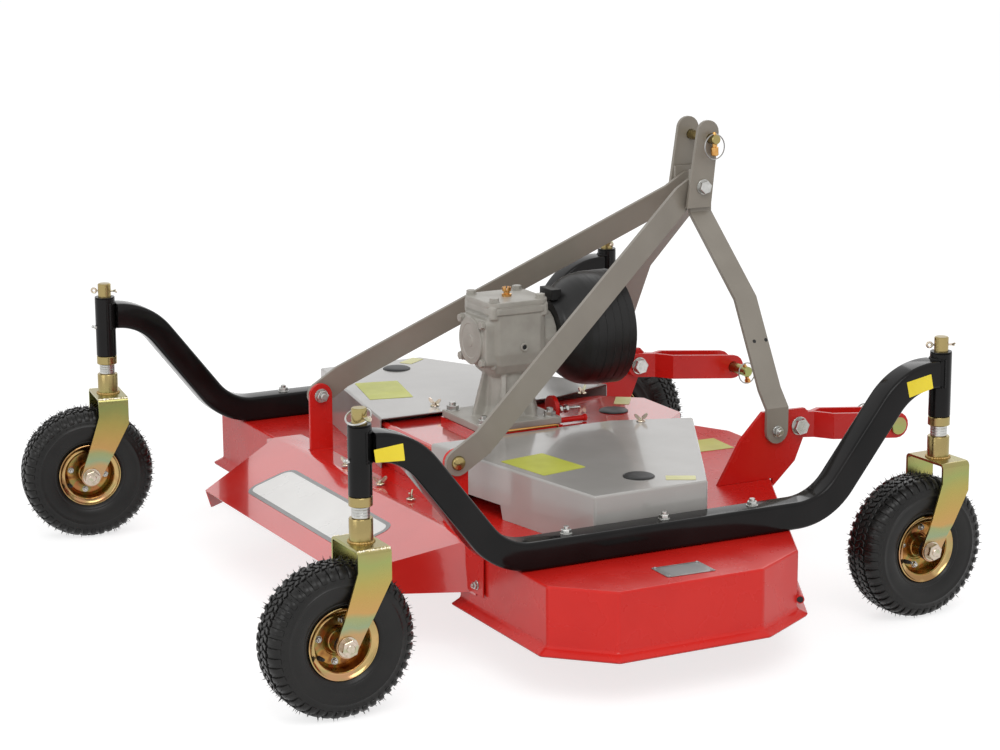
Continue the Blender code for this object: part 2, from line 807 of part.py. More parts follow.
def make_ear(mower, name, side):
    y, z = top_pin
    half = bar_width / 2
    top = (y - 0.006, z + 0.012)
    outline = [
        (mast_bolt[0] - 0.036, ear_bottom_z), (mast_bolt[0] + 0.018, ear_bottom_z),
        *arc(top, half, 0, 180, 10),
    ]
    low, high = sorted((ear_inner_x * side, (ear_inner_x + bar_thickness) * side))
    ear = add_object(name, prism(outline, low, high, "X"), "grey_paint", mower)
    holes = join_shapes(
        rod(top_pin_radius + pin_gap, low - 0.01, high + 0.01, 16, "X", (0, y, z)),
        rod(mast_bolt_radius + pin_gap, low - 0.01, high + 0.01, 16, "X", (0, *mast_bolt)),
    )
    combine(ear, holes, "DIFFERENCE")


def make_front_strut(mower, name, side):
    """Folded flat bar from the mast down to the hitch bracket, its width along Y."""
    top_x = ear_inner_x - seat_gap - bar_thickness / 2
    foot_x = strut_foot_x(bracket_inner_x)
    top_y, foot_y = mast_bolt[0], front_bracket_bolt[0]
    middle, knee = 0.587, 0.904
    span_x, drop = foot_x - top_x, strut_fold_z - strut_foot_fold_z
    # Stations: X, Z, share of the way from the mast to the bracket
    stations = (
        (top_x, strut_top_z, 0.0), (top_x, strut_fold_z, 0.08),
        (top_x + span_x * middle, strut_fold_z - drop * 0.426, 0.42),
        (top_x + span_x * knee, strut_fold_z - drop * 0.906, 0.80),
        (foot_x, strut_foot_fold_z, 0.9), (foot_x, front_bracket_bolt[1], 1.0),
    )
    points = [(x * side, top_y + (foot_y - top_y) * share, z) for x, z, share in stations]
    strut = add_object(name, flat_bar(points, (0, 1, 0), False, True), "grey_paint", mower)
    solidify(strut, bar_thickness, 0.0)
    hole = mast_bolt_radius + pin_gap
    top_hole = rod(hole, -0.01, 0.01, 16, "X", (top_x * side, *mast_bolt))
    combine(strut, top_hole, "DIFFERENCE")


def make_rear_strut(mower, name, side):
    """Folded flat bar from the mast back to the rear bracket, its broad side upright."""
    top_x = ear_inner_x - seat_gap * 2 - bar_thickness * 1.5
    foot_x = strut_foot_x(rear_bracket_x)
    front, rear = Vector(mast_bolt), Vector(rear_bracket_bolt)
    # Stations: X, share of the way from the mast bolt to the rear bolt
    stations = ((top_x, 0.0), (top_x, 0.055), (foot_x, 0.925), (foot_x, 1.0))
    points = []
    for x, share in stations:
        y, z = front + (rear - front) * share
        points.append((x * side, y, z))
    run = (rear - front).normalized()
    strut = add_object(name, flat_bar(points, (0, -run.y, run.x)), "grey_paint", mower)
    solidify(strut, bar_thickness, 0.0)
    hole = mast_bolt_radius + pin_gap
    top_hole = rod(hole, -0.01, 0.01, 16, "X", (top_x * side, *mast_bolt))
    combine(strut, top_hole, "DIFFERENCE")


def make_cross_pin(mower, name, place, radius, half_length, finish, head=0.006):
    """A pin across the mast or an arm, with a collar head at one end."""
    y, z = place
    profile = (
        (0, -half_length), (radius, -half_length), (radius, half_length),
        (radius * 1.55, half_length), (radius * 1.55, half_length + head), (0, half_length + head),
    )
    add_object(name, turned(profile, 16, "X", (0, y, z)), finish, mower)


def hitch_bracket_outline():
    """Side outline of the lower hitch bracket: it stands on the deck and clasps its front wall."""
    slope = (nose[1] - front_corner[1]) / (nose[0] - front_corner[0])
    wall_y = front_corner[1] + (bracket_inner_x - front_corner[0]) * slope + seat_gap * 2
    floor_z = deck_top_z + seat_gap
    return (
        (bracket_rear_y, floor_z), (wall_y, floor_z), (wall_y, bracket_wall_z), bracket_heel, bracket_beak,
        bracket_front_low, bracket_front_high, bracket_top_front, bracket_top_rear, bracket_shoulder,
    )


def make_hitch_bracket(mower, name, side):
    low, high = sorted((bracket_inner_x * side, bracket_outer_x() * side))
    bracket = add_object(name, prism(hitch_bracket_outline(), low, high, "X"), "red_paint", mower)
    hole = rod(arm_bolt_radius + pin_gap, low - 0.01, high + 0.01, 16, "X", (0, *arm_pivot))
    combine(bracket, hole, "DIFFERENCE")


def arm_middle_x():
    return bracket_inner_x - shaft_gap - bar_thickness


def make_hitch_arm(mower, name, side):
    """Two plates back to back at the pivot that part to take the tractor's link end."""
    middle = arm_middle_x()
    pivot_y, end_y = arm_pivot[0], foremost_y + 0.01
    split_y, open_y = arm_split_y, arm_open_y
    root, prong = bar_thickness, arm_gap / 2
    outer = [
        (middle + root, pivot_y - 0.04), (middle + root, split_y),
        (middle + prong + bar_thickness, open_y), (middle + prong + bar_thickness, end_y),
        (middle + prong, end_y), (middle + prong, open_y + 0.003), (middle, split_y + 0.004),
    ]
    inner = [(2 * middle - x, y) for x, y in outer[-2::-1]]
    plan = [(x * side, y) for x, y in outer + inner]
    low_z, high_z = arm_end[1] - 0.1, arm_pivot[1] + 0.1
    arm = add_object(name, prism(plan, low_z, high_z), "red_paint", mower, (0, *arm_pivot))
    run = Vector(arm_end) - Vector(arm_pivot)
    lean = degrees(run.angle_signed(Vector((1, 0))))
    half = arm_height / 2
    outline = [
        *arc(arm_pivot, half, 90 + lean, 270 + lean, 8),
        *arc(arm_end, half, -90 + lean, 90 + lean, 8),
    ]
    combine(arm, prism(outline, -0.5, 0.5, "X"), "INTERSECT")
    reach = middle * side
    bores = join_shapes(
        rod(arm_bolt_radius + pin_gap, reach - 0.02, reach + 0.02, 16, "X", (0, *arm_pivot)),
        rod(lower_pin_radius + pin_gap, reach - 0.05, reach + 0.05, 16, "X", (0, *arm_end)),
    )
    combine(arm, bores, "DIFFERENCE")


def make_arm_bolt(mower, name, side):
    """The pivot bolt: its head outside the bracket and its nut inside the arm."""
    head = bracket_outer_x() + seat_gap
    nut = arm_middle_x() - bar_thickness - shaft_gap
    radius = arm_bolt_radius
    profile = (
        (0, nut - 0.012), (0.017, nut - 0.012), (0.017, nut), (radius, nut), (radius, head),
        (0.019, head), (0.019, head + 0.012), (0, head + 0.012),
    )
    profile = [(r, x * side) for r, x in profile]
    add_object(name, turned(profile, 12, "X", (0, *arm_pivot)), "zinc_yellow", mower)


def make_lower_pin(mower, name, side):
    """The link pin: a head outside the arm and a free end that takes a lynch pin."""
    middle = arm_middle_x()
    outer = middle + arm_gap / 2 + bar_thickness + seat_gap
    free = middle - arm_gap / 2 - bar_thickness - 0.060
    radius = lower_pin_radius
    profile = (
        (0, free), (radius - 0.002, free), (radius, free + 0.003), (radius, outer),
        (radius + 0.006, outer), (radius + 0.006, outer + 0.006), (0, outer + 0.006),
    )
    profile = [(r, x * side) for r, x in profile]
    add_object(name, turned(profile, 16, "X", (0, *arm_end)), "zinc_yellow", mower, (0, *arm_pivot))


def side_tube_route():
    """Centre line of a side tube in the YZ plane, from the rear barrel to the front one."""
    low_z = deck_top_z + seat_gap + tube_size / 2
    rise = tube_high_z - low_z
    angle = radians(tube_bend_angle)
    radius = tube_bend_radius
    ramp = (rise - 2 * radius * (1 - cos(angle))) / sin(angle)
    run = 2 * radius * sin(angle) + ramp * cos(angle)
    steps = 4

    def ramp_points(level_y, direction):
        """From the top end of a ramp down to the low level, with the way it heads."""
        points = []
        top_y = level_y + direction * run
        for i in range(steps + 1):
            a = angle * i / steps
            points.append((top_y - direction * radius * sin(a), tube_high_z - radius * (1 - cos(a)), a))
        for i in range(steps + 1):
            a = angle * (1 - i / steps)
            points.append((level_y + direction * radius * sin(a), low_z + radius * (1 - cos(a)), a))
        return points

    rear = ramp_points(tube_rear_low_y, -1)
    front = ramp_points(tube_front_low_y, 1)
    rear_end = castor_table[0][2] + barrel_radius * 0.7
    front_end = castor_table[2][2] - barrel_radius * 0.7
    route = [(rear_end, tube_high_z, 0.0)]
    route += [(y, z, -a) for y, z, a in rear if y > rear_end + 0.002]
    route += [(y, z, a) for y, z, a in reversed(front) if y < front_end - 0.002]
    route.append((front_end, tube_high_z, 0.0))
    return route


def make_side_tube(mower, name, side):
    x = tube_x * side
    half = tube_size / 2 - tube_corner
    section = []
    for cx, cz, start in ((half, half, 0), (-half, half, 90), (-half, -half, 180), (half, -half, 270)):
        section += arc((cx, cz), tube_corner, start, start + 90, 1)
    stations = [((x, y, z), (1, 0, 0), (0, -sin(a), cos(a))) for y, z, a in side_tube_route()]
    tube = add_object(name, swept(stations, section), "black_paint", mower)
    ends = [row for row in castor_table if row[1] * side > 0]
    barrels = [
        rod(barrel_radius, barrel_low_z, barrel_high_z, 16, "Z", (x, row[2], 0)) for row in ends
    ]
    combine(tube, join_shapes(*barrels), "UNION")
    bore = stem_radius + shaft_gap + 0.0002
    bores = [
        rod(bore, barrel_low_z - 0.02, barrel_high_z + 0.02, 16, "Z", (x, row[2], 0)) for row in ends
    ]
    combine(tube, join_shapes(*bores), "DIFFERENCE")


def fork_arm_outline():
    """Side outline of a fork arm, from its top down and back to the axle."""
    half = fork_depth / 2
    axle = (-castor_trail, wheel_radius)
    front_bend, rear_bend = (half, fork_top_z - 0.055), (-half, fork_top_z - 0.038)
    return [
        (-half, fork_top_z + 0.01), rear_bend,
        *arc(axle, fork_eye_radius, 148, 322, 8),
        front_bend, (half, fork_top_z + 0.01),
    ]


def fork_end_half_width():
    return fork_half_width - fork_joggle


def fork_front_outline():
    """The bent plate seen from the front: round bends at the crown, and arms that step inwards."""
    crease_low, crease_high = wheel_radius + 0.025, wheel_radius + 0.045
    low = wheel_radius - 0.05

    def half_outline(inset, bend):
        width, end = fork_half_width - inset, fork_end_half_width() - inset
        top = fork_top_z - inset
        return [(end, low), (end, crease_low), (width, crease_high),
                *arc((width - bend, top - bend), bend, 0, 90, 3)]

    outer = half_outline(0, fork_bend)
    inner = half_outline(fork_sheet, fork_bend - fork_sheet)
    left_outer = [(-x, z) for x, z in reversed(outer)]
    left_inner = [(-x, z) for x, z in inner]
    return outer + left_outer + left_inner + inner[::-1]


def make_fork(swivel, name):
    """A bent plate over the wheel, with the turning stem welded to its top."""
    width = fork_half_width
    plate = prism(fork_front_outline(), -0.2, 0.2, "Y")
    fork = add_object(f"fork_{name}", plate, "zinc_yellow", swivel)
    combine(fork, prism(fork_arm_outline(), -width - 0.01, width + 0.01, "X"), "INTERSECT")
    axle_hole = rod(
        axle_radius + pin_gap, -width - 0.01, width + 0.01, 16, "X", (0, -castor_trail, wheel_radius)
    )
    combine(fork, axle_hole, "DIFFERENCE")
    collar_top = fork_top_z + collar_height
    spacer_top = collar_top + spacer_height
    bearing_z = barrel_low_z - seat_gap * 2
    stem = turned(
        ((0, fork_top_z - 0.002), (collar_radius, fork_top_z - 0.002), (collar_radius, collar_top),
         (spacer_radius, collar_top + 0.001), (spacer_radius, spacer_top),
         (collar_radius, spacer_top + 0.001), (collar_radius, bearing_z), (stem_radius, bearing_z),
         (stem_radius, stem_top_z - 0.002), (stem_radius - 0.002, stem_top_z), (0, stem_top_z)),
        12,
    )
    combine(fork, stem, "UNION")


# Tyre section, right half from the bead to the crown: radius, distance from the middle
tyre_half = (
    (0.0533, 0.0315),
    (0.0635, 0.0315),
    (0.0700, 0.0400),
    (0.0920, tyre_half_width),
    (0.1120, 0.0410),
    (0.1225, 0.0330),
    (0.1265, 0.0190),
    (wheel_radius - lug_height, 0.0070),
)


def make_tyre(swivel, name, axle):
    steps = 24
    profile = list(tyre_half) + [(r, -x) for r, x in reversed(tyre_half)]
    tyre = turned(profile, steps, "X")
    # Lugs stand on every second face of the two shoulders, and between them on the crown
    shoulder, crown = (0.0330 + 0.0190) / 2, 0.0
    lugs = []
    for face in tyre.faces:
        middle = face.calc_center_median()
        radius = hypot(middle.y, middle.z)
        turn = int((Vector((middle.y, middle.z)).angle_signed(Vector((1, 0))) % (2 * pi)) / (2 * pi) * steps)
        on_shoulder = abs(abs(middle.x) - shoulder) < 0.002 and radius > 0.12
        on_crown = abs(middle.x) < 0.002 and radius > 0.12
        if (on_shoulder and turn % 2 == 0) or (on_crown and turn % 2 == 1):
            lugs.append(face)
    raised = bmesh.ops.extrude_discrete_faces(tyre, faces=lugs)["faces"]
    for face in raised:
        for vert in face.verts:
            radius = hypot(vert.co.y, vert.co.z)
            growth = (radius + lug_height) / radius
            vert.co.y *= growth
            vert.co.z *= growth
            vert.co.x *= 1.04
    bmesh.ops.translate(tyre, verts=tyre.verts, vec=axle)
    add_object(f"tyre_{name}", tyre, "rubber", swivel, axle)


def make_rim(swivel, name, axle):
    """The dished disc wheel: flanges, barrel, web and hub in one turned section."""
    flange, barrel, hub = rim_flange_radius, rim_barrel_radius, hub_radius
    hub_half = fork_end_half_width() - fork_sheet - shaft_gap
    bore = axle_radius + shaft_gap
    half = (
        (barrel, 0.0318), (flange, 0.0322), (flange, 0.0350), (barrel - 0.003, 0.0345),
        (barrel - 0.006, 0.0080), (hub + 0.010, 0.0050), (hub, hub_half), (bore, hub_half),
    )
    profile = list(half) + [(r, -x) for r, x in reversed(half)]
    rim = turned(profile, 16, "X", axle)
    add_object(f"rim_{name}", rim, "zinc_yellow", swivel, axle)


def make_axle(swivel, name, axle):
    """The axle bolt, its head on one side of the fork and its nut on the other."""
    seat = fork_end_half_width() + seat_gap
    profile = (
        (0, -seat - 0.008), (0.013, -seat - 0.008), (0.013, -seat), (axle_radius, -seat),
        (axle_radius, seat), (0.013, seat), (0.013, seat + 0.012), (axle_radius, seat + 0.012),
        (axle_radius, seat + 0.017), (0, seat + 0.017),
    )
    add_object(f"axle_{name}", turned(profile, 10, "X", axle), "bright_steel", swivel, axle)


def make_castor(mower, name, x, y, heading):
    swivel = add_empty(f"swivel_{name}", (x, y, 0), mower, heading)
    axle = (0, -castor_trail, wheel_radius)
    make_fork(swivel, name)
    make_tyre(swivel, name, axle)
    make_rim(swivel, name, axle)
    make_axle(swivel, name, axle)


def main():
    clear_scene()
    mower = add_empty("mower", (0, -middle_y, 0))
    make_deck(mower)
    make_hood(mower)
    make_housing(mower)
    make_tensioner(mower)
    make_gearbox(mower)
    make_guard(mower)
    make_drive_shaft(mower)
    for name, place in zip(("centre", "right", "left"), spindle_places()):
        make_spindle(mower, f"spindle_{name}", place)
        make_blade(mower, f"blade_{name}", place)
    for name, side in (("right", 1), ("left", -1)):
        make_cover(mower, f"belt_cover_{name}", side)
        make_ear(mower, f"mast_ear_{name}", side)
        make_front_strut(mower, f"front_strut_{name}", side)
        make_rear_strut(mower, f"rear_strut_{name}", side)
        make_hitch_bracket(mower, f"hitch_bracket_{name}", side)
        make_hitch_arm(mower, f"hitch_arm_{name}", side)
        make_arm_bolt(mower, f"arm_bolt_{name}", side)
        make_lower_pin(mower, f"lower_pin_{name}", side)
        make_side_tube(mower, f"side_tube_{name}", side)
    ear_outer = ear_inner_x + bar_thickness
    make_cross_pin(mower, "top_link_pin", top_pin, top_pin_radius, ear_outer + seat_gap, "zinc_yellow")
    make_cross_pin(mower, "mast_bolt", mast_bolt, mast_bolt_radius, ear_outer + seat_gap, "bright_steel")
    for row in castor_table:
        make_castor(mower, *row)


main()
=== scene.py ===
import math
import random

import bmesh
import bpy
from mathutils import Matrix, Vector


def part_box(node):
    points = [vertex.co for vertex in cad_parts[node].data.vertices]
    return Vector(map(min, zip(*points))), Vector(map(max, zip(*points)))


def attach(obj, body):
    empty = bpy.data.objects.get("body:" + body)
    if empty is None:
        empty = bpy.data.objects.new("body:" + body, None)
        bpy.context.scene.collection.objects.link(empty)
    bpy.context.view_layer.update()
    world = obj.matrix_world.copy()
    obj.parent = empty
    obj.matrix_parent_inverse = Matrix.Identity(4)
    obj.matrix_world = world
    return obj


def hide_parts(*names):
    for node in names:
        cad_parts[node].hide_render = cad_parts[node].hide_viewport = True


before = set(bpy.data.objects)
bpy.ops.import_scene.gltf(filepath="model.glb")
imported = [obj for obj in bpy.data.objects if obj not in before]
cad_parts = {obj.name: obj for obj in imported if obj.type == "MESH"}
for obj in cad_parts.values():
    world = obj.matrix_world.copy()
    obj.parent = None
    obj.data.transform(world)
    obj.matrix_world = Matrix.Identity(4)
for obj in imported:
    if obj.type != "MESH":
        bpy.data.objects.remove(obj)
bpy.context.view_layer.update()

# The mower was drawn from a point above its deck; rowShift takes that drawing to the row frame.
stubEnd = 0.172
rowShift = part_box("drive_shaft")[1][1] - stubEnd
toRow = Matrix.Translation((0, rowShift, 0))
print("frame loaded, drawing shift", round(rowShift, 5))


# Shapes

def alongAxis(axis, a, b, height):
    return {"X": (height, a, b), "Y": (a, height, b), "Z": (a, b, height)}[axis]


def extruded(outline, low, high, axis="Z"):
    shape = bmesh.new()
    bottom = [shape.verts.new(alongAxis(axis, a, b, low)) for a, b in outline]
    top = [shape.verts.new(alongAxis(axis, a, b, high)) for a, b in outline]
    shape.faces.new(bottom)
    shape.faces.new(top)
    for i in range(len(outline)):
        j = (i + 1) % len(outline)
        shape.faces.new((bottom[i], bottom[j], top[j], top[i]))
    bmesh.ops.recalc_face_normals(shape, faces=shape.faces)
    return shape


def block(low, high):
    corners = ((low[0], low[1]), (high[0], low[1]), (high[0], high[1]), (low[0], high[1]))
    return extruded(corners, low[2], high[2])


def lathed(profile, steps=32, axis="Z", centre=(0, 0, 0)):
    # (radius, height) points turned about an axis, a ring where no point touches it
    shape = bmesh.new()
    rings = []
    for radius, height in profile:
        if radius == 0:
            rings.append([shape.verts.new(alongAxis(axis, 0, 0, height))] * steps)
            continue
        turns = [2 * math.pi * i / steps for i in range(steps)]
        rings.append([shape.verts.new(alongAxis(axis, radius * math.cos(t), radius * math.sin(t), height))
                      for t in turns])
    pairs = list(zip(rings, rings[1:]))
    if profile[0][0] > 0 and profile[-1][0] > 0:
        pairs.append((rings[-1], rings[0]))
    for lower, upper in pairs:
        for i in range(steps):
            j = (i + 1) % steps
            corners = dict.fromkeys((lower[i], lower[j], upper[j], upper[i]))
            shape.faces.new(tuple(corners))
    bmesh.ops.recalc_face_normals(shape, faces=shape.faces)
    bmesh.ops.translate(shape, verts=shape.verts, vec=centre)
    return shape


def rod(radius, low, high, steps=24, axis="Z", centre=(0, 0, 0), chamfer=0.0):
    c = min(chamfer, (high - low) / 2)
    profile = [(0, low), (radius - c, low), (radius, low + c), (radius, high - c), (radius - c, high),
               (0, high)]
    if not c:
        profile = [(0, low), (radius, low), (radius, high), (0, high)]
    return lathed(profile, steps, axis, centre)


def sweptAlong(stations, section, closed=False):
    # stations hold a point and the two side directions of the section there
    shape = bmesh.new()
    rings = [[shape.verts.new(Vector(p) + Vector(s) * a + Vector(u) * b) for a, b in section]
             for p, s, u in stations]
    pairs = list(zip(rings, rings[1:])) + ([(rings[-1], rings[0])] if closed else [])
    count = len(section)
    for first, second in pairs:
        for i in range(count):
            j = (i + 1) % count
            shape.faces.new((first[i], first[j], second[j], second[i]))
    if not closed:
        shape.faces.new(rings[0])
        shape.faces.new(rings[-1])
    bmesh.ops.recalc_face_normals(shape, faces=shape.faces)
    return shape


def wire(points, radius, steps=8, closed=False):
    # a round wire through points, with side directions carried along it
    points = [Vector(p) for p in points]
    count = len(points)
    stations = []
    side = None
    for i, point in enumerate(points):
        before = points[i - 1] if (i or closed) else points[i]
        after = points[(i + 1) % count] if (i < count - 1 or closed) else points[i]
        heading = (after - before).normalized()
        if side is None:
            side = heading.orthogonal()
        side = (side - heading * side.dot(heading)).normalized()
        stations.append((point, side, heading.cross(side)))
    section = [(radius * math.cos(2 * math.pi * k / steps), radius * math.sin(2 * math.pi * k / steps))
               for k in range(steps)]
    return sweptAlong(stations, section, closed)


def joined(*shapes):
    whole = bmesh.new()
    for shape in shapes:
        scrap = bpy.data.meshes.new("scrap")
        shape.to_mesh(scrap)
        shape.free()
        whole.from_mesh(scrap)
        bpy.data.meshes.remove(scrap)
    return whole


def moved(shape, matrix):
    bmesh.ops.transform(shape, matrix=matrix, verts=shape.verts)
    if matrix.determinant() < 0:
        bmesh.ops.reverse_faces(shape, faces=shape.faces)
    return shape


def arc(centre, radius, start, end, steps):
    turns = [math.radians(start + (end - start) * i / steps) for i in range(steps + 1)]
    return [(centre[0] + radius * math.cos(t), centre[1] + radius * math.sin(t)) for t in turns]


def roundedSection(halfWide, halfHigh, radius, steps=4):
    section = []
    for sideX, sideZ, start in ((1, 1, 0), (-1, 1, 90), (-1, -1, 180), (1, -1, 270)):
        centre = (sideX * (halfWide - radius), sideZ * (halfHigh - radius))
        section += arc(centre, radius, start, start + 90, steps)
    return section


def roundedOutline(corners, radius, steps=5):
    # an outline with its corners rounded, which may be (a, b) or (a, b, own radius)
    rounded = []
    for i, corner in enumerate(corners):
        here = Vector(corner[:2])
        reach = corner[2] if len(corner) > 2 else radius
        before = Vector(corners[i - 1][:2])
        after = Vector(corners[(i + 1) % len(corners)][:2])
        back = (before - here).normalized()
        ahead = (after - here).normalized()
        half = back.angle(ahead) / 2
        cut = reach / math.tan(half) if reach else 0
        if cut < 1e-6:
            rounded.append(tuple(here))
            continue
        centre = here + (back + ahead).normalized() * (reach / math.sin(half))
        first = here + back * cut - centre
        turn = first.angle_signed(here + ahead * cut - centre)
        for k in range(steps + 1):
            rounded.append(tuple(centre + Matrix.Rotation(-turn * k / steps, 2) @ first))
    return rounded


def offsetOutline(outline, distance):
    shifted = []
    for i, here in enumerate(outline):
        before = Vector(outline[i - 1])
        after = Vector(outline[(i + 1) % len(outline)])
        here = Vector(here)
        first = (here - before).normalized()
        second = (after - here).normalized()
        normal = (Vector((first.y, -first.x)) + Vector((second.y, -second.x))).normalized()
        shifted.append(tuple(here + normal * (distance / normal.dot(Vector((first.y, -first.x))))))
    return shifted


def mirroredHalf(points):
    return list(points) + [(-x, y) for x, y in reversed(points) if x > 0]


def openPan(outline, topZ, rows, gaps=()):
    # a folded sheet: flat top, and walls down through rows of (outset, z), with some left open
    shape = bmesh.new()
    rings = [[shape.verts.new((x, y, topZ)) for x, y in outline]]
    shape.faces.new(rings[0])
    for outset, z in rows:
        ring = offsetOutline(outline, outset) if outset else outline
        rings.append([shape.verts.new((x, y, z)) for x, y in ring])
    for upper, lower in zip(rings, rings[1:]):
        for i in range(len(outline)):
            j = (i + 1) % len(outline)
            if i not in gaps:
                shape.faces.new((upper[i], lower[i], lower[j], upper[j]))
    loose = [vert for vert in shape.verts if not vert.link_faces]
    bmesh.ops.delete(shape, geom=loose, context="VERTS")
    return shape


# Finishes

def link(tree, start, end):
    tree.links.new(start, end)


def finishTree(name, look):
    # Object-space paint, plating, casting, rubber or plastic from one dictionary of values
    made = bpy.data.materials.new(name)
    made.use_nodes = True
    tree = made.node_tree
    shader = tree.nodes["Principled BSDF"]
    shader.inputs["Metallic"].default_value = look.get("metallic", 0.0)
    shader.inputs["Coat Weight"].default_value = look.get("coat", 0.0)
    shader.inputs["Coat Roughness"].default_value = look.get("coatRoughness", 0.05)
    shader.inputs["Specular IOR Level"].default_value = look.get("specular", 0.5)
    place = tree.nodes.new("ShaderNodeTexCoord")

    def noise(scale, detail=4.0, distortion=0.0):
        node = tree.nodes.new("ShaderNodeTexNoise")
        node.inputs["Scale"].default_value = scale
        node.inputs["Detail"].default_value = detail
        node.inputs["Distortion"].default_value = distortion
        link(tree, place.outputs["Object"], node.inputs["Vector"])
        return node

    patches = noise(look.get("patchScale", 6.0), look.get("patchDetail", 3.0), look.get("distortion", 0.0))
    ramp = tree.nodes.new("ShaderNodeValToRGB")
    stops = look["colours"]
    ends = look.get("span", (0.35, 0.65))
    while len(ramp.color_ramp.elements) < len(stops):
        ramp.color_ramp.elements.new(0.5)
    for i, colour in enumerate(stops):
        element = ramp.color_ramp.elements[i]
        even = ends[0] + (ends[1] - ends[0]) * i / max(1, len(stops) - 1)
        element.position = look["stops"][i] if "stops" in look else even
        element.color = (*colour, 1.0)
    level = patches.outputs["Fac"]
    if "heights" in look:
        # plating whose tint changes with height, with some drift
        apart = tree.nodes.new("ShaderNodeSeparateXYZ")
        climb = tree.nodes.new("ShaderNodeMapRange")
        drift = tree.nodes.new("ShaderNodeMath")
        link(tree, place.outputs["Object"], apart.inputs[0])
        link(tree, apart.outputs["Z"], climb.inputs["Value"])
        climb.inputs["From Min"].default_value, climb.inputs["From Max"].default_value = look["heights"]
        climb.inputs["To Min"].default_value = -0.5 * look["drift"]
        climb.inputs["To Max"].default_value = 1 - 0.5 * look["drift"]
        drift.operation = "MULTIPLY_ADD"
        drift.inputs[1].default_value = look["drift"]
        link(tree, level, drift.inputs[0])
        link(tree, climb.outputs["Result"], drift.inputs[2])
        level = drift.outputs[0]
    link(tree, level, ramp.inputs["Fac"])
    link(tree, ramp.outputs["Color"], shader.inputs["Base Color"])

    smudges = noise(look.get("smudgeScale", 14.0))
    spread = tree.nodes.new("ShaderNodeMapRange")
    low, high = look["roughness"]
    spread.inputs["From Min"].default_value = 0.3
    spread.inputs["From Max"].default_value = 0.7
    spread.inputs["To Min"].default_value = low
    spread.inputs["To Max"].default_value = high
    link(tree, smudges.outputs["Fac"], spread.inputs["Value"])
    link(tree, spread.outputs["Result"], shader.inputs["Roughness"])

    grain = noise(look.get("grainScale", 400.0), 2.0)
    bump = tree.nodes.new("ShaderNodeBump")
    bump.inputs["Strength"].default_value = look.get("grain", 0.05)
    bump.inputs["Distance"].default_value = look.get("grainDepth", 0.0005)
    link(tree, grain.outputs["Fac"], bump.inputs["Height"])
    link(tree, bump.outputs["Normal"], shader.inputs["Normal"])
    return made


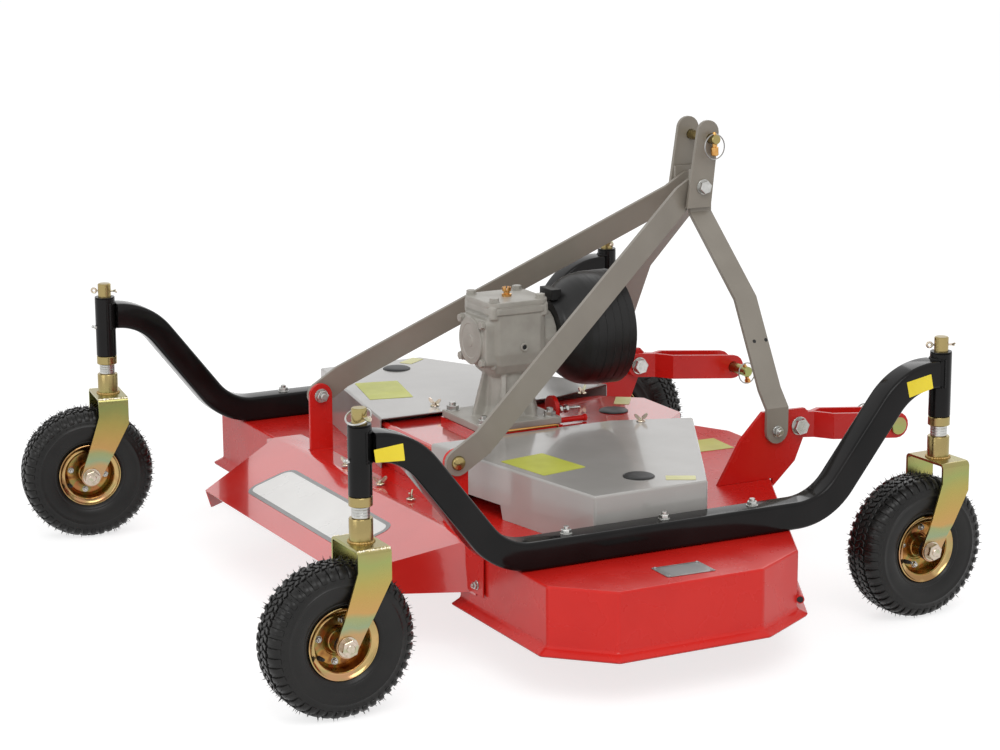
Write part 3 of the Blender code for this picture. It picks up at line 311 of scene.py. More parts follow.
looks = {
    "redEnamel": dict(colours=((0.56, 0.011, 0.008), (0.66, 0.018, 0.012)), roughness=(0.22, 0.32),
                      patchScale=4.0, grainScale=260.0, grain=0.006, coat=0.05, specular=0.28),
    "redGloss": dict(colours=((0.56, 0.014, 0.010), (0.66, 0.022, 0.016)), roughness=(0.15, 0.22),
                     patchScale=5.0, grainScale=240.0, grain=0.006, coat=1.0, specular=0.7),
    "barGrey": dict(colours=((0.232, 0.206, 0.170), (0.268, 0.240, 0.200)), roughness=(0.30, 0.42),
                    patchScale=9.0, grainScale=300.0, grain=0.06, coat=0.08),
    "coverGrey": dict(colours=((0.38, 0.365, 0.345), (0.44, 0.425, 0.405)), roughness=(0.14, 0.22),
                      patchScale=5.0, grainScale=240.0, grain=0.012, coat=0.4),
    "castGrey": dict(colours=((0.32, 0.302, 0.266), (0.39, 0.372, 0.332)), roughness=(0.38, 0.55),
                     patchScale=22.0, grainScale=520.0, grain=0.35, grainDepth=0.0006, coat=0.08),
    "blackEnamel": dict(colours=((0.005, 0.005, 0.005), (0.010, 0.009, 0.009)), roughness=(0.09, 0.16),
                        patchScale=8.0, grainScale=220.0, grain=0.02, coat=0.02, specular=0.16),
    "yellowZinc": dict(colours=((0.46, 0.27, 0.17), (0.46, 0.30, 0.14), (0.28, 0.34, 0.20),
                                (0.32, 0.34, 0.16),
                                (0.50, 0.30, 0.11), (0.46, 0.31, 0.10), (0.40, 0.33, 0.10),
                                (0.31, 0.34, 0.12),
                                (0.36, 0.28, 0.12)), metallic=1.0, roughness=(0.20, 0.32), patchScale=13.0,
                       patchDetail=1.5, distortion=0.4, heights=(0.120, 0.300), drift=0.22,
                       stops=(0.0, 0.16, 0.22, 0.30, 0.35, 0.48, 0.64, 0.82, 1.0), grainScale=700.0,
                       grain=0.05),
    "nutZinc": dict(colours=((0.46, 0.40, 0.30), (0.60, 0.50, 0.42), (0.42, 0.42, 0.28)), metallic=1.0,
                    roughness=(0.18, 0.28), patchScale=60.0, grainScale=600.0, grain=0.05),
    # rim flanges: copper plating tint, darkened in patches as painted reflections of dark surroundings
    "copperZincTintAndPaintedReflection": dict(colours=((0.33, 0.19, 0.08), (0.52, 0.35, 0.15), (0.40, 0.31, 0.13),
                                (0.50, 0.28, 0.14)),
                       metallic=1.0, roughness=(0.12, 0.20), patchScale=20.0, patchDetail=1.0,
                       grainScale=700.0, grain=0.04),
    # rim dish: plating tint with dark patches painted in as reflections of dark surroundings and as shade in
    # its deep gap
    "rimZincTintAndPaintedReflection": dict(colours=((0.22, 0.09, 0.03), (0.42, 0.21, 0.06), (0.25, 0.22, 0.07), (0.38, 0.16, 0.06)),
                    metallic=1.0, roughness=(0.22, 0.34), patchScale=38.0, patchDetail=1.5, distortion=0.6,
                    grainScale=700.0, grain=0.06),
    "weldGold": dict(colours=((0.34, 0.21, 0.07), (0.52, 0.36, 0.14)), metallic=1.0, roughness=(0.3, 0.45),
                     patchScale=120.0, grainScale=500.0, grain=0.2),
    # near-white lumps along the fork crown's bends: a painted highlight on a ragged weld
    "weldHighlightZinc": dict(colours=((0.72, 0.62, 0.36), (0.90, 0.85, 0.70)), metallic=1.0, roughness=(0.2, 0.3),
                     patchScale=200.0, grainScale=500.0, grain=0.2),
    "brightZinc": dict(colours=((0.44, 0.44, 0.42), (0.60, 0.60, 0.58)), metallic=1.0, roughness=(0.22, 0.34),
                       patchScale=60.0, grainScale=600.0, grain=0.1),
    "springSteel": dict(colours=((0.58, 0.28, 0.08), (0.66, 0.38, 0.13)), metallic=1.0, roughness=(0.2, 0.3),
                        patchScale=80.0, grainScale=600.0, grain=0.05),
    "bladeSteel": dict(colours=((0.16, 0.155, 0.15), (0.30, 0.29, 0.28)), metallic=1.0, roughness=(0.35, 0.5),
                       patchScale=30.0, grainScale=500.0, grain=0.2),
    "tyreRubber": dict(colours=((0.0060, 0.0056, 0.0052), (0.0105, 0.0098, 0.0090)), roughness=(0.24, 0.42),
                       patchScale=18.0, grainScale=650.0, grain=0.08, specular=0.30),
    "mouldedBlack": dict(colours=((0.0062, 0.0060, 0.0058), (0.0105, 0.0100, 0.0098)), roughness=(0.32, 0.44),
                         patchScale=12.0, grainScale=500.0, grain=0.10, specular=0.34),
    "plugBlack": dict(colours=((0.008, 0.008, 0.008), (0.016, 0.016, 0.016)), roughness=(0.4, 0.5),
                      patchScale=40.0, grainScale=500.0, grain=0.1, specular=0.35),
    "signWhite": dict(colours=((0.80, 0.79, 0.77), (0.86, 0.85, 0.83)), roughness=(0.22, 0.3),
                      patchScale=8.0, grainScale=300.0, grain=0.004),
    "signBorder": dict(colours=((0.24, 0.24, 0.24), (0.30, 0.30, 0.30)), roughness=(0.25, 0.32),
                       patchScale=8.0, grainScale=300.0, grain=0.03),
    "stickerYellow": dict(colours=((0.84, 0.66, 0.02), (0.90, 0.72, 0.03)), roughness=(0.3, 0.4),
                          patchScale=20.0, grainScale=300.0, grain=0.03),
    "labelLime": dict(colours=((0.50, 0.52, 0.05), (0.58, 0.60, 0.08)), roughness=(0.3, 0.4),
                      patchScale=20.0, grainScale=300.0, grain=0.03),
    "labelPale": dict(colours=((0.62, 0.60, 0.26), (0.70, 0.68, 0.32)), roughness=(0.3, 0.4),
                      patchScale=20.0, grainScale=300.0, grain=0.03),
    "plateAluminium": dict(colours=((0.32, 0.315, 0.31), (0.42, 0.415, 0.41)), metallic=1.0,
                           roughness=(0.3, 0.4), patchScale=40.0, grainScale=300.0, grain=0.05),
}
finishes = {name: finishTree(name, look) for name, look in looks.items()}
print("finishes made:", len(finishes))


# Pieces

def plainMesh(obj, matrix, finish, angle, weighted):
    # what the modifiers make, as a mesh placed in the row frame
    graph = bpy.context.evaluated_depsgraph_get()
    mesh = bpy.data.meshes.new_from_object(obj.evaluated_get(graph))
    obj.modifiers.clear()
    mesh.transform(matrix)
    if matrix.determinant() < 0:
        mesh.flip_normals()
    mesh.materials.clear()
    mesh.materials.append(finishes[finish])
    mesh.polygons.foreach_set("material_index", [0] * len(mesh.polygons))
    if not weighted:
        mesh.shade_smooth()
        mesh.set_sharp_from_angle(angle=math.radians(angle))
    obj.data = mesh
    return mesh


def makePiece(name, shape, finish, body, stands=(), matrix=toRow, fold=None, sheet=None, cuts=(), keeps=(),
              bevel=None, steps=2, angle=32):
    mesh = bpy.data.meshes.new(name)
    shape.to_mesh(mesh)
    shape.free()
    obj = bpy.data.objects.new(name, mesh)
    bpy.context.scene.collection.objects.link(obj)
    if fold:
        bend = obj.modifiers.new("fold", "BEVEL")
        bend.width, bend.segments, bend.limit_method = fold, 4, "ANGLE"
        bend.angle_limit = math.radians(12)
    if sheet:
        wall = obj.modifiers.new("sheet", "SOLIDIFY")
        wall.thickness, wall.offset = sheet, -1.0
        wall.use_even_offset = True
    helpers = []
    for operation, tools in (("INTERSECT", keeps), ("DIFFERENCE", cuts)):
        for tool in tools:
            toolMesh = bpy.data.meshes.new(name + "Tool")
            tool.to_mesh(toolMesh)
            tool.free()
            helper = bpy.data.objects.new(name + "Tool", toolMesh)
            bpy.context.scene.collection.objects.link(helper)
            helpers.append(helper)
            change = obj.modifiers.new("shape", "BOOLEAN")
            change.operation, change.object, change.solver = operation, helper, "EXACT"
    if bevel:
        if cuts or keeps:
            weld = obj.modifiers.new("weld", "WELD")
            weld.merge_threshold = 0.00005
        edges = obj.modifiers.new("edges", "BEVEL")
        edges.width, edges.segments, edges.limit_method = bevel, steps, "ANGLE"
        edges.angle_limit = math.radians(angle)
    if bevel or fold:
        obj.data.shade_smooth()
        even = obj.modifiers.new("even", "WEIGHTED_NORMAL")
        even.weight = 60
        even.keep_sharp = True
    plainMesh(obj, matrix, finish, angle, bool(bevel or fold))
    for helper in helpers:
        bpy.data.objects.remove(helper, do_unlink=True)
    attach(obj, body)
    if stands:
        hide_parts(*stands)
    return obj


def cleanCopy(node):
    # the CAD node's own shape, with its loose triangles merged into whole faces
    shape = bmesh.new()
    shape.from_mesh(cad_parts[node].data)
    bmesh.ops.remove_doubles(shape, verts=shape.verts, dist=0.00002)
    bmesh.ops.dissolve_limit(shape, angle_limit=math.radians(0.8), verts=shape.verts, edges=shape.edges)
    return shape


def softenedNode(node, name, finish, body, bevel=0.0008, angle=32):
    return makePiece(name, cleanCopy(node), finish, body, (node,), Matrix(), bevel=bevel, angle=angle)


# Small parts repeated on points by one Geometry Nodes tree

def makeRepeatTree():
    tree = bpy.data.node_groups.new("repeatOnPoints", "GeometryNodeTree")
    for label, kind in (("Geometry", "NodeSocketGeometry"), ("Part", "NodeSocketObject"),
                        ("Part Size", "NodeSocketFloat"), ("Finish", "NodeSocketMaterial")):
        tree.interface.new_socket(label, in_out="INPUT", socket_type=kind)
    tree.interface.new_socket("Geometry", in_out="OUTPUT", socket_type="NodeSocketGeometry")
    add = tree.nodes.new
    start, end = add("NodeGroupInput"), add("NodeGroupOutput")
    part = add("GeometryNodeObjectInfo")
    turn, size = add("GeometryNodeInputNamedAttribute"), add("GeometryNodeInputNamedAttribute")
    turn.data_type, size.data_type = "FLOAT_VECTOR", "FLOAT_VECTOR"
    turn.inputs["Name"].default_value = "facing"
    size.inputs["Name"].default_value = "sizing"
    toTurn, scaled = add("FunctionNodeEulerToRotation"), add("ShaderNodeVectorMath")
    scaled.operation = "SCALE"
    spread, real = add("GeometryNodeInstanceOnPoints"), add("GeometryNodeRealizeInstances")
    paint = add("GeometryNodeSetMaterial")
    link(tree, start.outputs["Part"], part.inputs["Object"])
    link(tree, turn.outputs["Attribute"], toTurn.inputs["Euler"])
    link(tree, size.outputs["Attribute"], scaled.inputs[0])
    link(tree, start.outputs["Part Size"], scaled.inputs["Scale"])
    link(tree, start.outputs["Geometry"], spread.inputs["Points"])
    link(tree, part.outputs["Geometry"], spread.inputs["Instance"])
    link(tree, toTurn.outputs["Rotation"], spread.inputs["Rotation"])
    link(tree, scaled.outputs["Vector"], spread.inputs["Scale"])
    link(tree, spread.outputs["Instances"], real.inputs["Geometry"])
    link(tree, real.outputs["Geometry"], paint.inputs["Geometry"])
    link(tree, start.outputs["Finish"], paint.inputs["Material"])
    link(tree, paint.outputs["Geometry"], end.inputs["Geometry"])
    return tree


repeatTree = makeRepeatTree()
repeatSockets = {item.name: item.identifier for item in repeatTree.interface.items_tree
                 if item.item_type == "SOCKET" and item.in_out == "INPUT"}


def aimed(direction, spin=0.0):
    # a turn that points a part's own Z along the direction
    return Vector(direction).to_track_quat("Z", "Y").to_matrix() @ Matrix.Rotation(math.radians(spin), 3, "Z")


def repeatPart(name, part, rows, finish, body, matrix=toRow, size=1.0, angle=32):
    # rows are (point, turn, scale)
    partMesh = bpy.data.meshes.new(name + "Part")
    part.to_mesh(partMesh)
    part.free()
    partObject = bpy.data.objects.new(name + "Part", partMesh)
    bpy.context.scene.collection.objects.link(partObject)
    points = bpy.data.meshes.new(name)
    points.from_pydata([tuple(row[0]) for row in rows], [], [])
    facing = points.attributes.new("facing", "FLOAT_VECTOR", "POINT")
    sizing = points.attributes.new("sizing", "FLOAT_VECTOR", "POINT")
    for i, (_, turn, scale) in enumerate(rows):
        facing.data[i].vector = turn.to_euler()
        sizing.data[i].vector = scale if hasattr(scale, "__len__") else (scale,) * 3
    obj = bpy.data.objects.new(name, points)
    bpy.context.scene.collection.objects.link(obj)
    maker = obj.modifiers.new("repeat", "NODES")
    maker.node_group = repeatTree
    maker[repeatSockets["Part"]] = partObject
    maker[repeatSockets["Part Size"]] = size
    maker[repeatSockets["Finish"]] = finishes[finish]
    plainMesh(obj, matrix, finish, angle, False)
    for stray in ("facing", "sizing"):
        if stray in obj.data.attributes:
            obj.data.attributes.remove(obj.data.attributes[stray])
    bpy.data.objects.remove(partObject, do_unlink=True)
    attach(obj, body)
    return obj


hexBolt = dict(across=0.013, height=0.0055, washer=0.0085, washerHeight=0.0012, stud=0.0042, studHeight=0.004)


def hexHead(values=hexBolt, washer=True, stud=True):
    # a chamfered hexagon on a washer, its seat at Z = 0
    base = values["washerHeight"] if washer else 0.0
    radius = values["across"] / 2 / math.cos(math.pi / 6)
    top = base + values["height"]
    head = bmesh.new()
    levels = ((base, radius), (top - 0.0009, radius), (top, radius * 0.9))
    rings = [[head.verts.new((r * math.cos(math.pi * k / 3), r * math.sin(math.pi * k / 3), z))
              for k in range(6)]
             for z, r in levels]
    for lower, upper in zip(rings, rings[1:]):
        for k in range(6):
            head.faces.new((lower[k], lower[(k + 1) % 6], upper[(k + 1) % 6], upper[k]))
    head.faces.new(list(reversed(rings[0])))
    head.faces.new(rings[-1])
    parts = [head]
    if washer:
        parts.append(rod(values["washer"], 0, base + 0.0001, 20, chamfer=0.0003))
    if stud:
        parts.append(rod(values["stud"], top - 0.001, top + values["studHeight"], 12, chamfer=0.0008))
    return joined(*parts)


def scaledHex(scale, **changes):
    return hexHead({key: value * scale for key, value in hexBolt.items()}, **changes)


def wingHead():
    # a wing bolt: flanged foot, short neck and two leaf wings, its seat at Z = 0
    foot = lathed([(0, 0), (0.0085, 0), (0.009, 0.0008), (0.0085, 0.0018), (0.0045, 0.003), (0.004, 0.0065),
                   (0.0025, 0.0075), (0, 0.0075)], 16)
    parts = [foot]
    for side in (1, -1):
        leaf = [(0.002, 0.0035), (0.008, 0.0045), (0.0125, 0.0095), (0.0135, 0.0135), (0.0115, 0.0155),
                (0.0075, 0.0135), (0.002, 0.008)]
        outline = [(x * side, z) for x, z in leaf]
        parts.append(extruded(outline[::side], -0.0013, 0.0013, "Y"))
    return joined(*parts)


def softened(shape, offset=0.0006, segments=1, angle=30):
    sharp = [edge for edge in shape.edges
             if len(edge.link_faces) == 2 and edge.calc_face_angle() > math.radians(angle)]
    bmesh.ops.bevel(shape, geom=sharp, offset=offset, segments=segments, profile=0.5, affect="EDGES")
    return shape


def thinPlate(name, corners, thickness, finish, rounding, rivets=()):
    # a flat sign on a plane through its first three corners, raised along that plane's normal
    corners = [Vector(corner) for corner in corners]
    middle = sum(corners, Vector()) / len(corners)
    normal = (corners[1] - corners[0]).cross(corners[2] - corners[0]).normalized()
    if normal.z < -0.01:
        normal = -normal
    across = (corners[1] - corners[0]).normalized()
    ahead = normal.cross(across)
    flat = [((corner - middle).dot(across), (corner - middle).dot(ahead)) for corner in corners]
    shape = extruded(roundedOutline(flat, rounding, 6), 0.0, thickness)
    for a, b, radius in rivets:
        rivet = lathed([(0, thickness * 0.5), (radius, thickness * 0.5), (radius, thickness + radius * 0.3),
                        (radius * 0.6, thickness + radius * 0.7), (0, thickness + radius * 0.8)], 14)
        shape = joined(shape, moved(rivet, Matrix.Translation((a, b, 0))))
    turn = Matrix((across, ahead, normal)).transposed().to_4x4()
    moved(shape, Matrix.Translation(middle) @ turn)
    return makePiece(name, shape, finish, "frame", angle=40)


# Deck

deck = dict(topZ=0.200, wallZ=0.095, lipDrop=0.009, lipReach=0.018, sheet=0.004, fold=0.0045,
            rodRadius=0.0075, rodZ=0.111, boreRadius=0.0058)
deckHalf = ((0.400, -0.348), (0.718, -0.348), (0.804, -0.260), (0.804, 0.022), (0.738, 0.135), (0.050, 0.490))
deckOutline = mirroredHalf(deckHalf)
strutBracket = dict(x=0.293, thick=0.008, half=0.024, y=-0.305, z=0.3115, footZ=0.1999)


def buildDeck():
    rows = ((0, deck["wallZ"]), (deck["lipReach"], deck["wallZ"] - deck["lipDrop"]))
    pan = openPan(deckOutline, deck["topZ"], rows, (len(deckOutline) - 1,))
    makePiece("deckPan", pan, "redEnamel", "frame", ("deck",), fold=deck["fold"], sheet=deck["sheet"])
    line = offsetOutline(deckOutline, deck["rodRadius"] * 0.6)
    route = [(*line[i], deck["rodZ"]) for i in (4, 5, 6, 7)]
    makePiece("frontEdgeRod", wire(route, deck["rodRadius"], 16), "redEnamel", "frame")
    # dark discs at the edge rod's two ends: painted shade inside its open bore
    ends = [(end, aimed(Vector(end) - Vector(inner)), 1.0)
            for end, inner in ((route[0], route[1]), (route[-1], route[-2]))]
    repeatPart("edgeRodBores", rod(deck["boreRadius"], -0.001, 0.0004, 18), ends, "plugBlack", "frame")
    # upright brackets for the rear struts
    half, y, z = strutBracket["half"], strutBracket["y"], strutBracket["z"]
    footZ = strutBracket["footZ"]
    outline = [(y - half, footZ), (y + half, footZ)] + arc((y, z), half, 0, 180, 18)
    for side, label in ((1, "Right"), (-1, "Left")):
        low, high = sorted((strutBracket["x"] * side, (strutBracket["x"] + strutBracket["thick"]) * side))
        makePiece("strutBracket" + label, extruded(outline, low, high, "X"), "redEnamel", "frame",
                  bevel=0.0012)
        seam = []
        for offset in (low - 0.001, high + 0.001):
            seam.append(wire([(offset, y - half + 0.002 + 0.004 * k, 0.2012 + 0.0005 * (k % 2))
                              for k in range(12)], 0.0024, 8))
        makePiece("bracketWeld" + label, joined(*seam), "redEnamel", "frame")


signs = dict(
    # name: finish, centre, size along its own X and Y, turn, thickness, rounding
    deckPlate=("plateAluminium", (0.7443, -0.1009, 0.2004), (0.060, 0.092), -2, 0.0008, 0.002),
    deckPlateField=("signBorder", (0.7443, -0.1009, 0.2012), (0.044, 0.068), -2, 0.0002, 0.0015),
    noseLabel=("labelLime", (0.0330, 0.3705, 0.2003), (0.086, 0.106), -3, 0.0004, 0.003),
    housingLabel=("labelPale", (-0.0680, 0.2495, 0.2853), (0.062, 0.031), -34, 0.0004, 0.003),
    nearCoverLabel=("labelLime", (0.3435, -0.1526, 0.2982), (0.127, 0.096), 10, 0.0004, 0.004),
    nearCoverStrip=("labelPale", (0.5418, 0.0155, 0.2982), (0.053, 0.028), 61, 0.0004, 0.002),
    farCoverLabel=("labelLime", (-0.3301, -0.1521, 0.2982), (0.150, 0.088), -13, 0.0004, 0.004),
    farCoverStrip=("labelPale", (-0.5495, 0.0155, 0.2982), (0.055, 0.028), -55, 0.0004, 0.002),
)


hoodSign = dict(left=-0.236, right=0.236, high=0.036, deep=0.141, border=0.0085, rounding=0.027)
tubeStickers = dict(
    x=0.6352,
    Rear=((-0.6193, 0.4467), (-0.5672, 0.4515), (-0.5641, 0.4222), (-0.6165, 0.4250)),
    Front=((0.4290, 0.4433), (0.4820, 0.4528), (0.4875, 0.4262), (0.4357, 0.4145)),
)


def buildSigns():
    for name, (finish, centre, (long, wide), degrees, thickness, rounding) in signs.items():
        turn = Matrix.Rotation(math.radians(degrees), 3, "Z")
        corners = [Vector(centre) + turn @ Vector((long * a / 2, wide * b / 2, 0))
                   for a, b in ((-1, -1), (-1, 1), (1, 1), (1, -1))]
        rivets = ()
        if name == "deckPlate":
            rivets = ((0.0405, 0.0255, 0.0030), (-0.0405, 0.0255, 0.0030), (0.0405, -0.0255, 0.0030),
                      (-0.0405, -0.0255, 0.0030))
        thinPlate(name, corners, thickness, finish, rounding, rivets)
    # the long white sign on the discharge hood's sloping face, with a grey border
    faces = [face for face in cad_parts["rear_hood"].data.polygons
             if face.normal.z > 0.5 and face.normal.y < -0.15 and abs(face.normal.x) < 0.05]
    slope = max(faces, key=lambda face: face.area)
    lift = slope.normal.copy()
    onSlope = slope.center - Vector((slope.center.x, rowShift, 0))
    down = lift.cross(Vector((1, 0, 0))).normalized()
    down = -down if down.z > 0 else down
    top = onSlope + down * ((0.20 - onSlope.z) / down.z)
    for name, finish, edge, raised in (("hoodSignBorder", "signBorder", 0.0, 0.0002),
                                       ("hoodSign", "signWhite", hoodSign["border"], 0.0006)):
        left, right = hoodSign["left"] + edge, hoodSign["right"] - edge
        high, deep = hoodSign["high"] + edge, hoodSign["deep"] - edge
        corners = [top + down * s + Vector((x, 0, 0)) + lift * raised
                   for x, s in ((left, deep), (right, deep), (right, high), (left, high))]
        thinPlate(name, corners, 0.0004, finish, hoodSign["rounding"] - edge)
    # yellow stickers near the ends of the side tubes
    for side, label in ((1, "Right"), (-1, "Left")):
        for end in ("Rear", "Front"):
            corners = [(tubeStickers["x"] * side, y, z) for y, z in tubeStickers[end]]
            thinPlate("tubeSticker" + end + label, corners[::side], 0.0004, "stickerYellow", 0.001)


def buildHood():
    softenedNode("rear_hood", "dischargeHood", "redGloss", "frame", 0.0007, 20)
    # a hanging tab with its bolt at the hood's right end
    tab = [(0.430, 0.120), (0.497, 0.120), (0.497, 0.194), (0.470, 0.197), (0.430, 0.197)]
    makePiece("hoodTab", extruded(tab, -0.3535, -0.3505, "Y"), "redEnamel", "frame", bevel=0.0008)
    rows = [((0.4736, -0.3535, 0.137), aimed((0, -1, 0), 12), 1.0)]
    repeatPart("hoodTabBolt", hexHead(), rows, "brightZinc", "frame")


def buildHousings():
    softenedNode("centre_housing", "centreHousing", "redGloss", "frame", 0.0012, 25)
    plug = ((0, 0.2855), (0.0285, 0.2855), (0.0285, 0.287), (0.026, 0.2885), (0.006, 0.2892), (0, 0.2892))
    makePiece("housingPlug", lathed(plug, 48, "Z", (0, 0.190, 0)), "plugBlack", "frame")


tensioner = dict(x=0.029, half=0.023, rear=0.033, front=0.042, base=0.2855, top=0.3395, screwX=0.0465,
                 screwZ=0.315, rodZ=0.293, rodX=0.1075)


def buildTensioner():
    t = tensioner
    outline = [(t["x"] - t["half"], t["base"]), (t["x"] + t["half"], t["base"])]
    outline += arc((t["x"], t["top"] - t["half"]), t["half"], 0, 180, 20)
    makePiece("tensionerPlate", extruded(outline, t["rear"], t["front"], "Y"), "redEnamel", "frame",
              ("belt_tensioner",), bevel=0.001)
    turns = []
    for k in range(28):
        y = t["front"] + 0.0016 * k
        turns += [(0.0033, y), (0.0027, y + 0.0008)]
    screw = lathed([(0, t["front"] - 0.002)] + turns + [(0.0033, t["front"] + 0.045),
                                                        (0, t["front"] + 0.045)], 14,
                   "Y", (t["screwX"], 0, t["screwZ"]))
    nuts = [moved(scaledHex(1.0, stud=False), Matrix.Translation((t["screwX"], y, t["screwZ"])) @
                  aimed((0, 1, 0), 10).to_4x4()) for y in (t["front"], t["front"] + 0.013)]
    makePiece("tensionerScrew", joined(screw, *nuts), "brightZinc", "frame")
    low = ((0, 0.040), (0.0055, 0.040), (0.0055, 0.096), (0.0072, 0.0965), (0.0072, 0.101), (0, 0.1015))
    makePiece("tensionerRod", lathed(low, 20, "Y", (t["screwX"], 0, t["rodZ"])), "redEnamel", "frame")
    route = [(t["rodX"], -0.118, 0.296), (t["rodX"], -0.113, 0.3018), (t["rodX"], -0.104, 0.3025),
             (t["rodX"], 0.001, 0.3025), (t["rodX"] - 0.001, 0.006, 0.3015),
             (t["rodX"] - 0.004, 0.009, 0.287)]
    makePiece("tensionerSpring", wire(route, 0.0026, 12), "springSteel", "frame")


cover = dict(topZ=0.298, floorZ=0.2003, sheet=0.003, fold=0.0045, plugRadius=0.028, plug=(0.4975, -0.044),
             notch=(0.17, 0.33), notchZ=0.226)
coverOutline = ((0.112, -0.262), (0.581, -0.180), (0.578, 0.049), (0.167, 0.270), (0.112, 0.120))


def buildCovers():
    for side, label in ((1, "Right"), (-1, "Left")):
        outline = [(x * side, y) for x, y in coverOutline]
        if side < 0:
            outline.reverse()
        gaps = [i for i in range(5) if abs(outline[i][0]) < 0.2 and abs(outline[(i + 1) % 5][0]) < 0.2]
        pan = openPan(outline, cover["topZ"], ((0, cover["floorZ"]),), gaps)
        low, high = sorted((cover["notch"][0] * side, cover["notch"][1] * side))
        notch = extruded([(low, 0.18), (high, 0.18), (high - 0.012, cover["notchZ"]),
                          (low + 0.012, cover["notchZ"])],
                         -0.30, -0.20, "Y")
        makePiece("beltCover" + label, pan, "coverGrey", "frame", ("belt_cover_" + label.lower(),),
                  fold=cover["fold"], sheet=cover["sheet"], cuts=(notch,))
        x, y = cover["plug"][0] * side, cover["plug"][1]
        radius = cover["plugRadius"]
        profile = ((0, 0.2982), (radius, 0.2982), (radius + 0.0005, 0.2990), (radius - 0.001, 0.3000),
                   (radius - 0.004, 0.3013), (0.020, 0.3018), (0.008, 0.3022), (0.0, 0.3022))
        makePiece("coverPlug" + label, lathed(profile, 48, "Z", (x, y, 0)), "plugBlack", "frame")
    wings = (
        ((-0.159, -0.122, 0.2852), 35), ((0.145, 0.167, 0.2852), 80), ((-0.1155, 0.184, 0.2852), 120),
        ((-0.146, -0.320, 0.2060), 20), ((0.014, -0.322, 0.2060), 70), ((0.138, -0.3175, 0.2060), 140),
    )
    rows = [((x, y, 0.2982 if abs(x) > 0.112 and y > -0.25 else z), aimed((0, 0, 1), spin), 1.0)
            for (x, y, z), spin in wings]
    repeatPart("wingBolts", wingHead(), rows, "nutZinc", "frame")


def buildMast():
    for side in ("right", "left"):
        label = side.capitalize()
        softenedNode("mast_ear_" + side, "mastEar" + label, "barGrey", "frame", 0.001)
        softenedNode("front_strut_" + side, "frontStrut" + label, "barGrey", "frame", 0.001, 40)
        softenedNode("rear_strut_" + side, "rearStrut" + label, "barGrey", "frame", 0.001, 40)
        softenedNode("hitch_bracket_" + side, "hitchBracket" + label, "redEnamel", "frame", 0.0012)
        softenedNode("hitch_arm_" + side, "hitchArm" + label, "redEnamel", "arm_" + side, 0.0012, 34)
    # small drilled holes on the near and far front struts, painted as dark discs of shade
    hole = rod(0.0036, 0.0, 0.0004, 16)
    spots = [(side, z, reach) for side in (1, -1) for z, reach in ((0.4535, 0.0), (0.4537, 0.026))]
    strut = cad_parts["front_strut_right"].data
    faces = [face for face in strut.polygons if face.normal.x > 0.5]
    rows = []
    for side, z, reach in spots:
        y = 0.356 + rowShift + reach
        best = None
        for face in faces:
            corners = [strut.vertices[i].co for i in face.vertices]
            lowZ, highZ = min(c.z for c in corners), max(c.z for c in corners)
            if lowZ <= z <= highZ:
                flat = face.normal
                x = (flat.dot(corners[0]) - flat.y * y - flat.z * z) / flat.x
                if best is None or x > best[0]:
                    best = (x, flat.copy())
        if best:
            x, flat = best
            rows.append(((x * side, y, z), aimed((flat.x * side, flat.y, flat.z)), 1.0))
    if rows:
        repeatPart("strutHoles", hole, rows, "plugBlack", "frame", Matrix())


def lynchRing(centre, axis, radius=0.0205, thick=0.0017, steps=40):
    # the wire ring of a lynch pin round a pin's axis
    turn = aimed(axis).to_4x4()
    loop = [(radius * math.cos(2 * math.pi * k / steps), radius * math.sin(2 * math.pi * k / steps), 0)
            for k in range(steps)]
    return moved(wire(loop, thick, 10, True), Matrix.Translation(centre) @ turn)


def lynchPlug(centre, direction, length=0.034, radius=0.0042, head=1.5, deep=0.007):
    # the short plug of a lynch pin, with its eye for the ring
    body = lathed([(0, -length / 2), (radius * 0.55, -length / 2), (radius, -length / 2 + 0.005),
                   (radius, length / 2),
                   (radius * head, length / 2 + 0.001), (radius * head, length / 2 + deep),
                   (radius * (head - 0.4), length / 2 + deep + 0.002), (0, length / 2 + deep + 0.002)], 16)
    return moved(body, Matrix.Translation(centre) @ aimed(direction).to_4x4())


pins = dict(top=(0.381, 0.814), mast=(0.365, 0.721), arm=(0.416, 0.2965), end=(0.635, 0.2745),
            strutFoot=(0.362, 0.2935), rearFoot=(-0.305, 0.3115))


